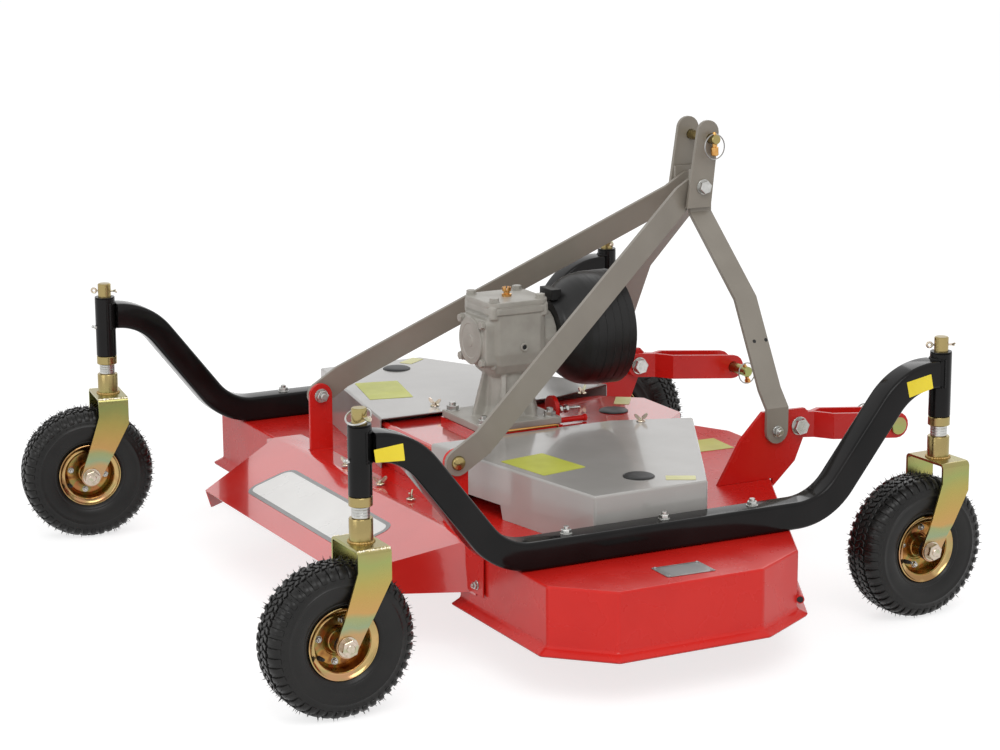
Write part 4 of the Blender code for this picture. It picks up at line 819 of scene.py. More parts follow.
def buildPins():
    # top link pin: a ringed handle on the far side and a lynch pin on the near one
    y, z = pins["top"]
    profile = [(0, -0.060), (0.008, -0.060), (0.0095, -0.058), (0.0095, 0.0605), (0.0085, 0.062), (0, 0.062)]
    head = [(0, -0.0655), (0.0135, -0.0655), (0.0147, -0.0645), (0.0147, -0.0605), (0.0135, -0.0595),
            (0, -0.0595)]
    makePiece("topLinkPin", joined(lathed(profile, 28, "X", (0, y, z)), lathed(head, 28, "X", (0, y, z))),
              "yellowZinc", "frame", ("top_link_pin",))
    makePiece("topLynchPin", lynchPlug((0.0535, y, z), (0, 0.04, -1), 0.028, 0.0048, 1.6, 0.016),
              "springSteel", "frame")
    makePiece("topLynchRing", lynchRing((0.0565, y - 0.001, z - 0.014), (1, 0.12, 0.06), 0.0240, 0.0013),
              "plateAluminium", "frame")
    # the bolt through the mast
    y, z = pins["mast"]
    shank = [(0, -0.052), (0.0072, -0.052), (0.0079, -0.051), (0.0079, 0.050), (0, 0.050)]
    shapes = [lathed(shank, 20, "X", (0, y, z))]
    for x, direction in ((0.0412, 1), (-0.0412, -1)):
        shapes.append(moved(scaledHex(1.75, stud=False), Matrix.Translation((x, y, z)) @
                            aimed((direction, 0, 0), 14).to_4x4()))
    makePiece("mastBolt", joined(*shapes), "brightZinc", "frame", ("mast_bolt",), angle=30)
    for side, label in ((1, "Right"), (-1, "Left")):
        name = label.lower()
        # pivot bolt of the arm
        y, z = pins["arm"]
        head, nut = 0.3132 * side, 0.2878 * side
        shank = sorted((head, nut - 0.006 * side))
        shapes = [rod(0.0109, shank[0], shank[1], 24, "X", (0, y, z))]
        for x, direction in ((head, side), (nut, -side)):
            shapes.append(moved(scaledHex(2.1, stud=False), Matrix.Translation((x, y, z)) @
                                aimed((direction, 0, 0), 8).to_4x4()))
        makePiece("armBolt" + label, joined(*shapes), "brightZinc", "frame", ("arm_bolt_" + name,), angle=30)
        # link pin with its lynch pin and ring
        y, z = pins["end"]
        free, outer = 0.206, 0.3275
        profile = [(0, free), (0.0085, free), (0.011, free + 0.003), (0.011, outer), (0.0165, outer + 0.0005),
                   (0.017, outer + 0.0012), (0.017, outer + 0.005), (0.0155, outer + 0.006),
                   (0, outer + 0.006)]
        profile = [(r, x * side) for r, x in profile]
        makePiece("lowerPin" + label, lathed(profile, 32, "X", (0, y, z)), "yellowZinc", "arm_" + name,
                  ("lower_pin_" + name,))
        x = (free + 0.011) * side
        makePiece("lowerLynchPin" + label, lynchPlug((x, y, z), (0.05, 0.2, -1)), "springSteel",
                  "arm_" + name)
        makePiece("lowerLynchRing" + label, lynchRing((x - 0.004 * side, y, z - 0.003), (1, 0.12, 0.1),
                                                      0.0215, 0.0014), "plateAluminium", "arm_" + name)
        # bolts at the struts' feet
        y, z = pins["strutFoot"]
        shapes = []
        for x, direction in ((0.3218 * side, side), (0.3048 * side, -side)):
            shapes.append(moved(scaledHex(1.3), Matrix.Translation((x, y, z)) @
                                aimed((direction, 0, 0), 20).to_4x4()))
        makePiece("strutFootBolt" + label, joined(*shapes), "brightZinc", "frame", angle=30)
        y, z = pins["rearFoot"]
        dome = lathed([(0, 0), (0.0135, 0), (0.0135, 0.001), (0.0115, 0.0045), (0.007, 0.0068),
                       (0, 0.0076)], 24)
        inside = moved(scaledHex(1.65),
                       Matrix.Translation((0.2928 * side, y, z)) @ aimed((-side, 0, 0), 5).to_4x4())
        outside = moved(dome, Matrix.Translation((0.3096 * side, y, z)) @ aimed((side, 0, 0)).to_4x4())
        makePiece("rearFootBolt" + label, outside, "yellowZinc", "frame", angle=30)
        makePiece("rearFootNut" + label, inside, "brightZinc", "frame", angle=30)


# Side tubes

tube = dict(x=0.610, size=0.050, corner=0.007, highZ=0.4485, lowZ=0.2253, bend=0.120, angle=52, rearY=-0.325,
            frontY=0.205, barrel=0.020, barrelLow=0.367, barrelHigh=0.484)
castorRows = (
    # label, swivel X, swivel Y, heading
    ("RearLeft", -0.610, -0.633, -8.8), ("RearRight", 0.610, -0.633, -0.6),
    ("FrontLeft", -0.610, 0.521, 117.5), ("FrontRight", 0.610, 0.521, 2.3),
)


def tubeRoute(steps=14):
    angle = math.radians(tube["angle"])
    bend = tube["bend"]
    rise = tube["highZ"] - tube["lowZ"]
    slope = (rise - 2 * bend * (1 - math.cos(angle))) / math.sin(angle)
    run = 2 * bend * math.sin(angle) + slope * math.cos(angle)

    def ramp(levelY, direction):
        topY = levelY + direction * run
        points = []
        for i in range(steps + 1):
            a = angle * i / steps
            points.append((topY - direction * bend * math.sin(a),
                           tube["highZ"] - bend * (1 - math.cos(a)), a))
        for i in range(steps + 1):
            a = angle * (1 - i / steps)
            points.append((levelY + direction * bend * math.sin(a),
                           tube["lowZ"] + bend * (1 - math.cos(a)), a))
        return points

    rearEnd = castorRows[0][2] + tube["barrel"] * 0.92
    frontEnd = castorRows[2][2] - tube["barrel"] * 0.92
    route = [(rearEnd, tube["highZ"], 0.0)]
    route += [(y, z, -a) for y, z, a in ramp(tube["rearY"], -1) if y > rearEnd + 0.002]
    route += [(y, z, a) for y, z, a in reversed(ramp(tube["frontY"], 1)) if y < frontEnd - 0.002]
    route.append((frontEnd, tube["highZ"], 0.0))
    return route


def weldBead(centre, radius, count, thick, spread):
    # overlapping ripples round a circle in XY
    rows = []
    for k in range(count):
        a = math.radians(360.0 * k / count)
        spin = Matrix.Rotation(a, 3, "Z")
        rows.append(((centre[0] + radius * math.cos(a), centre[1] + radius * math.sin(a), centre[2]), spin,
                     (thick, thick * spread, thick)))
    return rows


def ripple():
    ball = bmesh.new()
    bmesh.ops.create_icosphere(ball, subdivisions=2, radius=1.0)
    return ball


def buildTubes():
    section = roundedSection(tube["size"] / 2, tube["size"] / 2, tube["corner"], 6)
    for side, label in ((1, "Right"), (-1, "Left")):
        x = tube["x"] * side
        stations = [((x, y, z), (1, 0, 0), (0, -math.sin(a), math.cos(a))) for y, z, a in tubeRoute()]
        makePiece("sideTube" + label, sweptAlong(stations, section), "blackEnamel", "frame",
                  ("side_tube_" + label.lower(),), angle=40)
        low, high, radius = tube["barrelLow"], tube["barrelHigh"], tube["barrel"]
        ring = ((0.0136, low), (radius - 0.0012, low), (radius, low + 0.0012), (radius, high - 0.0012),
                (radius - 0.0012, high), (0.0136, high))
        ends = [(y, 1 if y > 0 else -1) for _, cx, y, _ in castorRows if cx * side > 0]
        shapes = [lathed(ring, 48, "Z", (x, y, 0)) for y, _ in ends]
        makePiece("tubeBarrels" + label, joined(*shapes), "blackEnamel", "frame")
        # weld seams where the square tube meets its barrels
        rows = []
        for y, out in ends:
            half = tube["size"] / 2
            for k in range(22):
                share = k / 21 * 2 - 1
                for top in (half, -half):
                    reach = math.sqrt(max(0, radius ** 2 - (share * radius * 0.98) ** 2))
                    rows.append(((x + share * radius * 0.98, y - out * reach, tube["highZ"] + top),
                                 Matrix.Identity(3), (0.0026, 0.0022, 0.0022)))
            for k in range(14):
                z = tube["highZ"] - half + 0.002 + k * (2 * half - 0.004) / 13
                for edge in (1, -1):
                    rows.append(((x + edge * radius * 0.99, y - out * 0.004, z), Matrix.Identity(3),
                                 (0.0022, 0.0022, 0.0026)))
        repeatPart("barrelWelds" + label, ripple(), rows, "blackEnamel", "frame")
        # grease nipples on the rear barrels
        nipple = lathed([(0, 0), (0.0042, 0), (0.0042, 0.003), (0.003, 0.0034), (0.0022, 0.006),
                         (0.003, 0.0075), (0.0026, 0.0092), (0.0012, 0.0100), (0, 0.0100)], 12)
        rows = [((x, y - 0.0196, 0.4260), aimed((0, -1, 0.25)), 1.0) for y, out in ends if out < 0]
        repeatPart("greaseNipples" + label, nipple, rows, "brightZinc", "frame")
        # nuts that hold the tube to the deck
        nuts = [((x, y, 0.2502), aimed((0, 0, 1), 15 + 50 * y), 1.0) for y in (-0.252, -0.059, 0.121)]
        repeatPart("tubeNuts" + label, scaledHex(1.25), nuts, "brightZinc", "frame")
        caps = [((x, y, tube["barrelHigh"] + 0.0002), Matrix.Identity(3), 1.0) for y, _ in ends]
        washer = lathed([(0.0136, 0), (0.0195, 0), (0.0200, 0.0006), (0.0195, 0.0026), (0.0136, 0.0026)], 36)
        repeatPart("barrelWashers" + label, washer, caps, "blackEnamel", "frame")


# Gearbox and guard

gearbox = dict(rear=-0.107, front=0.014, half=0.0575, lidLow=0.521, top=0.537, baseTop=0.310,
               driveZ=0.458, flangeY=-0.118, corner=0.018,
               breather=(0.003, -0.047))


def gearboxPlan(outset, steps=8):
    g = gearbox
    half = g["half"] + outset
    corners = ((half, g["front"] + outset), (-half, g["front"] + outset), (-half, g["rear"] - outset),
               (half, g["rear"] - outset))
    return roundedOutline(corners, g["corner"] + outset, steps)


def buildGearbox():
    g = gearbox
    # the casting: the CAD body melted into one skin with soft inner corners
    body = cleanCopy("gearbox")
    mesh = bpy.data.meshes.new("gearboxCasting")
    body.to_mesh(mesh)
    body.free()
    obj = bpy.data.objects.new("gearboxCasting", mesh)
    bpy.context.scene.collection.objects.link(obj)
    melt = obj.modifiers.new("melt", "REMESH")
    melt.mode, melt.voxel_size = "VOXEL", 0.0019
    ease = obj.modifiers.new("ease", "SMOOTH")
    ease.factor, ease.iterations = 0.5, 7
    plainMesh(obj, Matrix(), "castGrey", 50, False)
    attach(obj, "frame")
    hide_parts("gearbox")
    # crisp machined and bolted parts over it
    makePiece("gearboxLid", extruded(gearboxPlan(0.0034), g["lidLow"] + 0.006, g["top"] + 0.0004), "castGrey",
              "frame", bevel=0.0022, steps=3)
    makePiece("gearboxGasket", extruded(gearboxPlan(0.0016), g["lidLow"] + 0.0035, g["lidLow"] + 0.007),
              "mouldedBlack", "frame")
    makePiece("gearboxSeat", extruded(gearboxPlan(0.0032), g["lidLow"] - 0.0085, g["lidLow"] + 0.0045),
              "castGrey", "frame", bevel=0.002, steps=2)
    lidBolts = [((x, y, g["top"] + 0.0002), aimed((0, 0, 1), 200 * x + 9), 1.0)
                for x in (0.0475, -0.0475) for y in (-0.0965, 0.0015)]
    repeatPart("lidBolts", scaledHex(1.25, stud=False), lidBolts, "castGrey", "frame")
    # breather: a slotted crown on a short neck
    neck = lathed([(0, -0.001), (0.0095, -0.001), (0.0095, 0.005), (0.006, 0.006), (0.006, 0.0095),
                   (0.0085, 0.0105), (0.0088, 0.018), (0.0062, 0.018), (0.0055, 0.0135), (0, 0.0135)], 24)
    slots = [moved(block((-0.0014, 0.0, 0.0135), (0.0014, 0.02, 0.03)),
                   Matrix.Rotation(math.pi * k / 3, 4, "Z"))
             for k in range(6)]
    stand = Matrix.Translation((*g["breather"], g["top"]))
    slots = [moved(slot, stand) for slot in slots]
    makePiece("gearboxBreather", moved(neck, stand), "springSteel", "frame", cuts=(joined(*slots),), angle=30)
    # rear bearing cover: rim, sunk face, centre boss and bolts
    y0 = g["flangeY"] - 0.006
    disc = ((0, y0 - 0.0012), (0.011, y0 - 0.0012), (0.013, y0 + 0.0012), (0.031, y0 + 0.0012),
            (0.0335, y0 - 0.0008), (0.0445, y0 - 0.0008), (0.0455, y0 + 0.0004), (0.0455, y0 + 0.006),
            (0, y0 + 0.006))
    makePiece("rearBearingCover", lathed(disc, 64, "Y", (0, 0, g["driveZ"])), "castGrey", "frame")
    bosses = [(x, z) for x in (0.0435, -0.0435) for z in (g["driveZ"] + 0.0365, g["driveZ"] - 0.0365)]
    rows = [((x, g["flangeY"] - 0.0002, z), aimed((0, -1, 0), 40 * x / 0.0435), 1.0) for x, z in bosses]
    repeatPart("rearCoverBolts", scaledHex(1.1, stud=False), rows, "castGrey", "frame")
    # side level plugs, each with a dark disc painted as the shade in its socket, and a drain plug low on the
    # corner
    ring = lathed([(0.0046, -0.004), (0.0085, -0.004), (0.0085, 0.0018), (0.0076, 0.0028), (0.0056, 0.0028),
                   (0.0046, 0.0018)], 28)
    sides = [((0.0575, -0.038, 0.4475), aimed((1, 0, 0), 10), 1.0),
             ((-0.0575, -0.038, 0.4475), aimed((-1, 0, 0)), 1.0)]
    repeatPart("gearboxPlugs", ring, sides, "castGrey", "frame")
    repeatPart("gearboxPlugSockets", rod(0.0047, -0.003, 0.0004, 16), sides, "mouldedBlack", "frame")
    small = lathed([(0, -0.006), (0.0060, -0.006), (0.0060, 0.0015), (0.0045, 0.0028), (0, 0.003)], 20)
    repeatPart("gearboxDrainPlug", small, [((0.0455, -0.0985, 0.413), aimed((0.75, -0.62, -0.2)), 1.0)],
               "castGrey", "frame")
    # nuts on the base plate's corners
    base = [(x, y) for x in (0.066, -0.066) for y in (-0.129, 0.012)]
    rows = [((x, y, g["baseTop"] - 0.0004), aimed((0, 0, 1), 25 + 300 * x), 1.0) for x, y in base]
    repeatPart("baseNuts", scaledHex(1.55), rows, "brightZinc", "frame")
    pads = [((x, y, g["baseTop"] - 0.001), Matrix.Identity(3), 1.0) for x, y in base]
    pad = lathed([(0, 0), (0.0145, 0), (0.0135, 0.0016), (0, 0.0016)], 24)
    repeatPart("basePads", pad, pads, "castGrey", "frame")


guard = dict(back=0.0383, mouthY=0.1785, mouth=0.1105, wall=0.0032, driveZ=0.458)


def guardRadius(y):
    # outside of the bell at a distance along the drive
    stops = ((0.0383, 0.066), (0.050, 0.068), (0.062, 0.078), (0.075, 0.091), (0.087, 0.0995),
             (0.100, 0.1055), (0.115, 0.109), (0.130, 0.1105), (0.1785, 0.1105))
    for (y0, r0), (y1, r1) in zip(stops, stops[1:]):
        if y <= y1:
            return r0 + (r1 - r0) * (y - y0) / (y1 - y0)
    return stops[-1][1]


def buildGuard():
    g = guard
    # a moulded bell of rotation with shallow hoops and a thick lip at its mouth
    outside, y = [], g["back"]
    while y < g["mouthY"] - 0.004:
        ring = guardRadius(y)
        hoop = 0.0004 if int(y * 1000) % 16 < 2 and y > 0.085 else 0.0
        outside.append((ring - hoop, y))
        y += 0.0025
    lip = [(g["mouth"], g["mouthY"] - 0.0035), (g["mouth"], g["mouthY"] - 0.0008),
           (g["mouth"] - 0.0012, g["mouthY"]),
           (g["mouth"] - 0.0045, g["mouthY"]), (g["mouth"] - 0.0055, g["mouthY"] - 0.001)]
    inside = [(ring - g["wall"], y + 0.0015) for ring, y in reversed(outside[2:])]
    closing = [(0.052, g["back"] + 0.004), (0.037, g["back"] + 0.004), (0.036, g["back"] + 0.002),
               (0.036, g["back"])]
    shape = lathed(outside + lip + inside + closing, 96, "Y", (0, 0, g["driveZ"]))
    makePiece("driveGuard", shape, "mouldedBlack", "frame", ("drive_guard",), angle=40)
    # a few fine moulded lines across the bell's near and far flanks
    lines = []
    for k in range(5):
        y = 0.098 + k * 0.0165
        ring = guardRadius(y) + 0.0002
        for start, sweep in ((-50, 95), (130, 95)):
            points = [(ring * math.cos(math.radians(start + sweep * i / 24)), y,
                       g["driveZ"] + ring * math.sin(math.radians(start + sweep * i / 24)))
                       for i in range(25)]
            lines.append(wire(points, 0.0004, 5))
    makePiece("guardLines", joined(*lines), "mouldedBlack", "frame", angle=60)
    tab = block((-0.024, 0.0385, 0.5235), (0.024, 0.060, 0.5445))
    makePiece("guardNeckTab", tab, "mouldedBlack", "frame", bevel=0.0012)


def buildShaft():
    # splined stub: a ring of teeth, a locking groove and a chamfered end
    teeth, outer, inner = 6, 0.0172, 0.0146
    outline = []
    for k in range(teeth):
        base = 360 * k / teeth
        for turn, radius in ((-17, inner), (-13, outer), (-6.5, outer), (0, outer), (6.5, outer), (13, outer),
                             (17, inner), (30, inner)):
            a = math.radians(base + turn)
            outline.append((radius * math.cos(a), gearbox["driveZ"] + radius * math.sin(a)))
    spline = extruded(outline, 0.094, 0.1715, "Y")
    groove = lathed(((0.0150, 0.1425), (0.020, 0.1395), (0.020, 0.1490), (0.0150, 0.1460)), 48, "Y",
                    (0, 0, gearbox["driveZ"]))
    makePiece("driveShaft", spline, "brightZinc", "input", ("drive_shaft",), cuts=(groove,), bevel=0.0005)
    makePiece("shaftCollar", rod(0.0174, 0.0388, 0.0945, 40, "Y", (0, 0, gearbox["driveZ"]), 0.001),
              "brightZinc", "input")


def buildUnderside():
    for label in ("centre", "right", "left"):
        softenedNode("spindle_" + label, "spindle" + label.capitalize(), "castGrey", "frame", 0.0008, 40)
        softenedNode("blade_" + label, "blade" + label.capitalize(), "bladeSteel",
                     "rotor_" + label, 0.0005, 30)


# Castors, each drawn with its swivel at the origin, trailing towards -Y

castor = dict(trail=0.049, axleZ=0.131, top=0.290, half=0.054, sheet=0.005, bend=0.009, joggle=0.003,
              depth=0.060, eye=0.020, stemTop=0.5135, collar=0.020, stem=0.013)


def forkPlate():
    c = castor
    creaseLow, creaseHigh = c["axleZ"] + 0.025, c["axleZ"] + 0.045
    low = c["axleZ"] - 0.05

    def halfOutline(inset, bend):
        width, end = c["half"] - inset, c["half"] - c["joggle"] - inset
        top = c["top"] - inset
        return [(end, low), (end, creaseLow), (width, creaseHigh),
                *arc((width - bend, top - bend), bend, 0, 90, 9)]

    outer, inner = halfOutline(0, c["bend"]), halfOutline(c["sheet"], c["bend"] - c["sheet"])
    section = outer + [(-x, z) for x, z in reversed(outer)] + [(-x, z) for x, z in inner] + inner[::-1]
    half = c["depth"] / 2
    axle = (-c["trail"], c["axleZ"])
    side = [(-half, c["top"] + 0.01), (-half, c["top"] - 0.038), *arc(axle, c["eye"], 148, 322, 30),
            (half, c["top"] - 0.055), (half, c["top"] + 0.01)]
    hole = rod(0.0083, -0.08, 0.08, 28, "X", (0, *axle))
    return extruded(section, -0.2, 0.2, "Y"), extruded(side, -0.07, 0.07, "X"), hole


def stemShape():
    c = castor
    r, s, top = c["collar"], c["stem"], c["stemTop"]
    return lathed([
        (0, 0.2885), (r, 0.2885), (r, 0.3285), (r - 0.0008, 0.3298), (0.0142, 0.3300), (0.0142, 0.3500),
        (r - 0.0008, 0.3502), (r, 0.3512), (r, 0.3650), (r - 0.0008, 0.3660), (s, 0.3660), (s, top - 0.0016),
        (s - 0.0016, top), (0, top)], 40)


def rimShapes():
    # flange rings and the dished web, as turned sections about the axle
    flange = [(0.0505, 0.0290), (0.0535, 0.0290), (0.0565, 0.0300), (0.0590, 0.0315), (0.0612, 0.0334),
              (0.0622, 0.0347), (0.0620, 0.0357), (0.0610, 0.0362), (0.0600, 0.0360), (0.0590, 0.0350),
              (0.0572, 0.0334), (0.0550, 0.0322), (0.0525, 0.0316), (0.0505, 0.0314)]
    flanges = [lathed([(r, x * side) for r, x in flange], 96, "X") for side in (1, -1)]
    half = [(0.0521, 0.0), (0.0521, 0.0303), (0.0505, 0.0306), (0.0492, 0.0298), (0.0488, 0.0240),
            (0.0478, 0.0160),
            (0.0462, 0.0105), (0.0440, 0.0082), (0.0425, 0.0090), (0.0415, 0.0102), (0.0395, 0.0104),
            (0.0290, 0.0098), (0.0262, 0.0090), (0.0250, 0.0070), (0.0236, 0.0066), (0.0222, 0.0080),
            (0.0210, 0.0120), (0.0196, 0.0150), (0.0178, 0.0158), (0.0170, 0.0175), (0.0170, 0.0440),
            (0.0160, 0.0452), (0.0086, 0.0452)]
    dish = lathed(half + [(r, -x) for r, x in reversed(half[1:])], 96, "X")
    return joined(*flanges), dish


tyre = dict(lugs=46, crown=62, whiskers=58, hairReach=0.0085)


def tyreShape():
    half = [(0.0533, 0.0300), (0.0560, 0.0318), (0.0600, 0.0324), (0.0632, 0.0332), (0.0655, 0.0360),
            (0.0690, 0.0387), (0.0700, 0.0390), (0.0712, 0.0386), (0.0722, 0.0392), (0.0780, 0.0412),
            (0.0860, 0.0425), (0.0930, 0.0429), (0.0975, 0.0428), (0.0985, 0.0434), (0.1010, 0.0434),
            (0.1020, 0.0424), (0.1080, 0.0414), (0.1130, 0.0401), (0.1172, 0.0378), (0.1209, 0.0342),
            (0.1240, 0.0293), (0.1262, 0.0228), (0.1275, 0.0150), (0.1281, 0.0070)]
    return lathed(half + [(r, -x) for r, x in reversed(half)], 96, "X")


def shoulderLug():
    # side outline in the tyre's section, X outwards and Z away from the axle at its origin
    outline = [(0.0205, 0.1235), (0.0385, 0.1120), (0.0405, 0.1118), (0.0416, 0.1132), (0.0402, 0.1182),
               (0.0373, 0.1224), (0.0325, 0.1259), (0.0265, 0.1283), (0.0215, 0.1294), (0.0205, 0.1290)]
    return softened(extruded(outline, -0.0050, 0.0050, "Y"), 0.0014, 2, 25)


def crownBlock(lean):
    w, d = 0.0052, 0.0043
    outline = [(-w, -d - lean), (w, -d + lean), (w, d + lean), (-w, d - lean)]
    return softened(extruded(outline, 0.1265, 0.1306, "Z"), 0.0009, 1, 40)


def radial(turn, side=1):
    # a part drawn with Z away from the axle, X along it, turned round the axle
    around = Matrix.Rotation(math.radians(turn), 3, "X")
    flip = Matrix.Rotation(math.pi, 3, "Z") if side < 0 else Matrix.Identity(3)
    return around @ flip


def buildTyre(label, node, place, dice):
    wheel = "wheel_" + node
    centre = place @ Matrix.Translation((0, -castor["trail"], castor["axleZ"]))
    makePiece("tyre" + label, tyreShape(), "tyreRubber", wheel, ("tyre_" + node,), centre, angle=38)
    count = tyre["lugs"]
    start = dice.uniform(0, 15)
    origin = (0, 0, 0)
    rows = []
    for side in (1, -1):
        for k in range(count):
            rows.append((origin, radial(start + 360 * (k + 0.5 * (side < 0)) / count, side), 1.0))
    repeatPart("shoulderLugs" + label, shoulderLug(), rows, "tyreRubber", wheel, centre)
    many = tyre["crown"]
    for lane, (offset, lean) in enumerate(((0.0, 0.0024), (0.0128, -0.0024), (-0.0128, -0.0024))):
        rows = []
        for k in range(many):
            turn = radial(start + 360 * (k + 0.5 * (lane > 0)) / many)
            rows.append((turn @ Vector((offset, 0, 0)), turn, 1.0 if lane == 0 else (0.85, 1.0, 0.9985)))
        repeatPart("crownBlocks" + label + "ABC"[lane], crownBlock(lean), rows, "tyreRubber", wheel, centre)
    # small raised dots under the lugs and moulding whiskers at the shoulder
    dot = lathed([(0, -0.0006), (0.0013, -0.0006), (0.0012, 0.0005), (0, 0.0006)], 8)
    hair = lathed([(0, 0), (0.00085, 0), (0.00055, 0.005), (0, tyre["hairReach"])], 5)
    dots, hairs = [], []
    for side in (1, -1):
        for k in range(count):
            turn = radial(start + 360 * (k + 0.5 * (side < 0)) / count)
            out = turn.to_4x4() @ Vector((0.0411 * side, 0, 0.1065))
            dots.append((out, aimed((side, 0, 0)), (1.9, 1.9, 1.3)))
        for lane, (across, reach) in enumerate(((0.0330, 0.1245), (0.0235, 0.1285), (0.0090, 0.1300))):
            for k in range(tyre["whiskers"]):
                degrees = start + 360 * (k + lane / 3) / tyre["whiskers"] + dice.uniform(-2.0, 2.0)
                turn = radial(degrees)
                out = turn @ Vector((across * side, 0, reach))
                lean = (side * (0.55 - 0.22 * lane), dice.uniform(-0.2, 0.2), 1.0)
                away = (turn @ Vector(lean)).normalized()
                scale = dice.uniform(0.6, 1.0)
                tip = out + away * tyre["hairReach"] * scale
                if tip.z > -0.1300 and (tip.y > -0.1230 or label.startswith("Front")):
                    hairs.append((out, aimed(away), scale))
    repeatPart("tyreDots" + label, dot, dots, "tyreRubber", wheel, centre)
    repeatPart("tyreWhiskers" + label, hair, hairs, "tyreRubber", wheel, centre)


def buildRim(label, node, place):
    wheel = "wheel_" + node
    centre = place @ Matrix.Translation((0, -castor["trail"], castor["axleZ"]))
    flanges, dish = rimShapes()
    # the flanges' finish carries painted dark reflections in its plating tint
    makePiece("rimFlanges" + label, flanges, "copperZincTintAndPaintedReflection", wheel, ("rim_" + node,), centre)
    # the dish's finish carries painted dark reflections and shade in its plating tint
    makePiece("rimDish" + label, dish, "rimZincTintAndPaintedReflection", wheel, matrix=centre, angle=30)
    rows = []
    for side in (1, -1):
        for a in (79, 169, 259, 349):
            t = math.radians(a)
            rows.append(((0.0101 * side, 0.035 * math.cos(t), 0.035 * math.sin(t)),
                         aimed((side, 0, 0), a), 1.0))
    repeatPart("rimBolts" + label, scaledHex(0.72), rows, "brightZinc", wheel, centre)
    seals = [lathed([(r, x * side) for r, x in ((0.0087, 0.0440), (0.0087, 0.0454), (0.0158, 0.0454),
                                                (0.0162, 0.0448), (0.0162, 0.0440))], 40, "X")
                                                for side in (1, -1)]
    bands = [lathed([(r, x * side) for r, x in ((0.0171, 0.0370), (0.0185, 0.0372), (0.0185, 0.0428),
                                                (0.0171, 0.0430))], 40, "X") for side in (1, -1)]
    makePiece("bearingSeals" + label, joined(*seals, *bands), "mouldedBlack", wheel, matrix=centre)
    # tyre valve
    stem = lathed([(0, 0), (0.0044, 0), (0.0038, 0.006), (0.0036, 0.011), (0.0030, 0.0115), (0.0030, 0.0155),
                   (0.0024, 0.0165), (0, 0.0165)], 14)
    t = math.radians(205)
    foot = (0.0260, 0.0462 * math.cos(t), 0.0462 * math.sin(t))
    lean = aimed((1, -0.18 * math.cos(t), -0.18 * math.sin(t)))
    repeatPart("tyreValve" + label, stem, [(foot, lean, 1.0)], "plugBlack", wheel, centre)


def buildFork(label, node, place, heading):
    c = castor
    body = "castor_" + node
    plate, side, hole = forkPlate()
    makePiece("fork" + label, plate, "yellowZinc", body, ("fork_" + node,), place, keeps=(side,),
              cuts=(hole,), bevel=0.0007)
    makePiece("forkStem" + label, stemShape(), "yellowZinc", body, matrix=place, angle=34)
    rows = weldBead((0, 0, c["top"] + 0.0006), c["collar"] + 0.0008, 26, 0.0027, 1.5)
    repeatPart("stemWeld" + label, ripple(), rows, "weldGold", body, place, angle=80)
    # ragged weld lumps along the crown's two upper bends, painted near-white as the highlight the bends catch
    dice = random.Random(heading)
    weldGlints = []
    for side in (-1, 1):
        for k in range(24):
            y = -c["depth"] / 2 + 0.002 + (c["depth"] - 0.004) * k / 23 + dice.uniform(-0.0008, 0.0008)
            lump = dice.uniform(0.0016, 0.0030)
            weldGlints.append(((side * (c["half"] - 0.0030 - dice.uniform(0, 0.0022)), y, c["top"] - 0.0024),
                          Matrix.Rotation(dice.uniform(-0.6, 0.6), 3, "Z"), (lump, 0.0022, lump)))
    if label.startswith("Rear"):
        repeatPart("crownWeld" + label, ripple(), weldGlints, "weldHighlightZinc", body, place, angle=80)
    # grooved bearing spacer
    grooves = [(0.0144, 0.3306), (0.0152, 0.3312), (0.0152, 0.3345), (0.0147, 0.3351), (0.0152, 0.3357),
               (0.0152, 0.3395), (0.0147, 0.3401), (0.0152, 0.3407), (0.0152, 0.3445), (0.0147, 0.3451),
               (0.0152, 0.3457), (0.0152, 0.3488), (0.0144, 0.3494), (0.0130, 0.3494), (0.0130, 0.3306)]
    makePiece("stemSpacer" + label, lathed(grooves, 40), "brightZinc", body, matrix=place)
    # pin through the stem above the barrel
    z = 0.4985
    if label == "RearRight":
        pin = lynchPlug((0, 0, z), (1, 0.25, 0), 0.040, 0.0033)
        ring = lynchRing((0.003, -0.003, z + 0.001), (0.30, -0.42, 1), 0.0212, 0.0016)
        makePiece("stemRing" + label, ring, "brightZinc", body, matrix=place)
    else:
        # a split pin with its eye at one end and its legs bent apart at the other
        along = Vector((0.45, 0.89, 0))
        across = Vector((0.89, -0.45, 0))
        points = [Vector((0, 0, z)) + along * s for s in (-0.017, 0.0, 0.019)]
        eye = [points[0] + along * -0.0048 * (1 - math.cos(t)) + Vector((0, 0, 0.0046)) * math.sin(t)
               for t in [math.tau * k / 12 for k in range(13)]]
        legs = [wire([points[0], points[1], points[2], points[2] + along * 0.005 + across * side * 0.005 +
                      Vector((0, 0, 0.003 * side))], 0.0019, 8) for side in (1, -1)]
        pin = joined(wire(eye, 0.0021, 8), *legs)
    makePiece("stemPin" + label, pin, "nutZinc", body, matrix=place)
    # axle bolt with washers and nuts
    y, z = -c["trail"], c["axleZ"]
    seat = c["half"] - c["joggle"] + 0.0003
    shank = rod(0.0079, -seat, seat, 28, "X", (0, y, z))
    washers = [lathed([(r, x * s) for r, x in ((0.0081, seat), (0.0175, seat), (0.0179, seat + 0.0006),
                                               (0.0175, seat + 0.0018), (0.0081, seat + 0.0018))],
                      36, "X", (0, y, z)) for s in (1, -1)]
    heads = [moved(scaledHex(2.0, washer=False, stud=False), Matrix.Translation(((seat + 0.0017) * s, y, z)) @
                   aimed((s, 0, 0), 17).to_4x4()) for s in (1, -1)]
    stud = rod(0.0076, seat + 0.002, seat + 0.0150, 24, "X", (0, y, z), chamfer=0.0012)
    makePiece("axle" + label, joined(shank, *washers, *heads, stud), "nutZinc", body, ("axle_" + node,),
              place, angle=30)


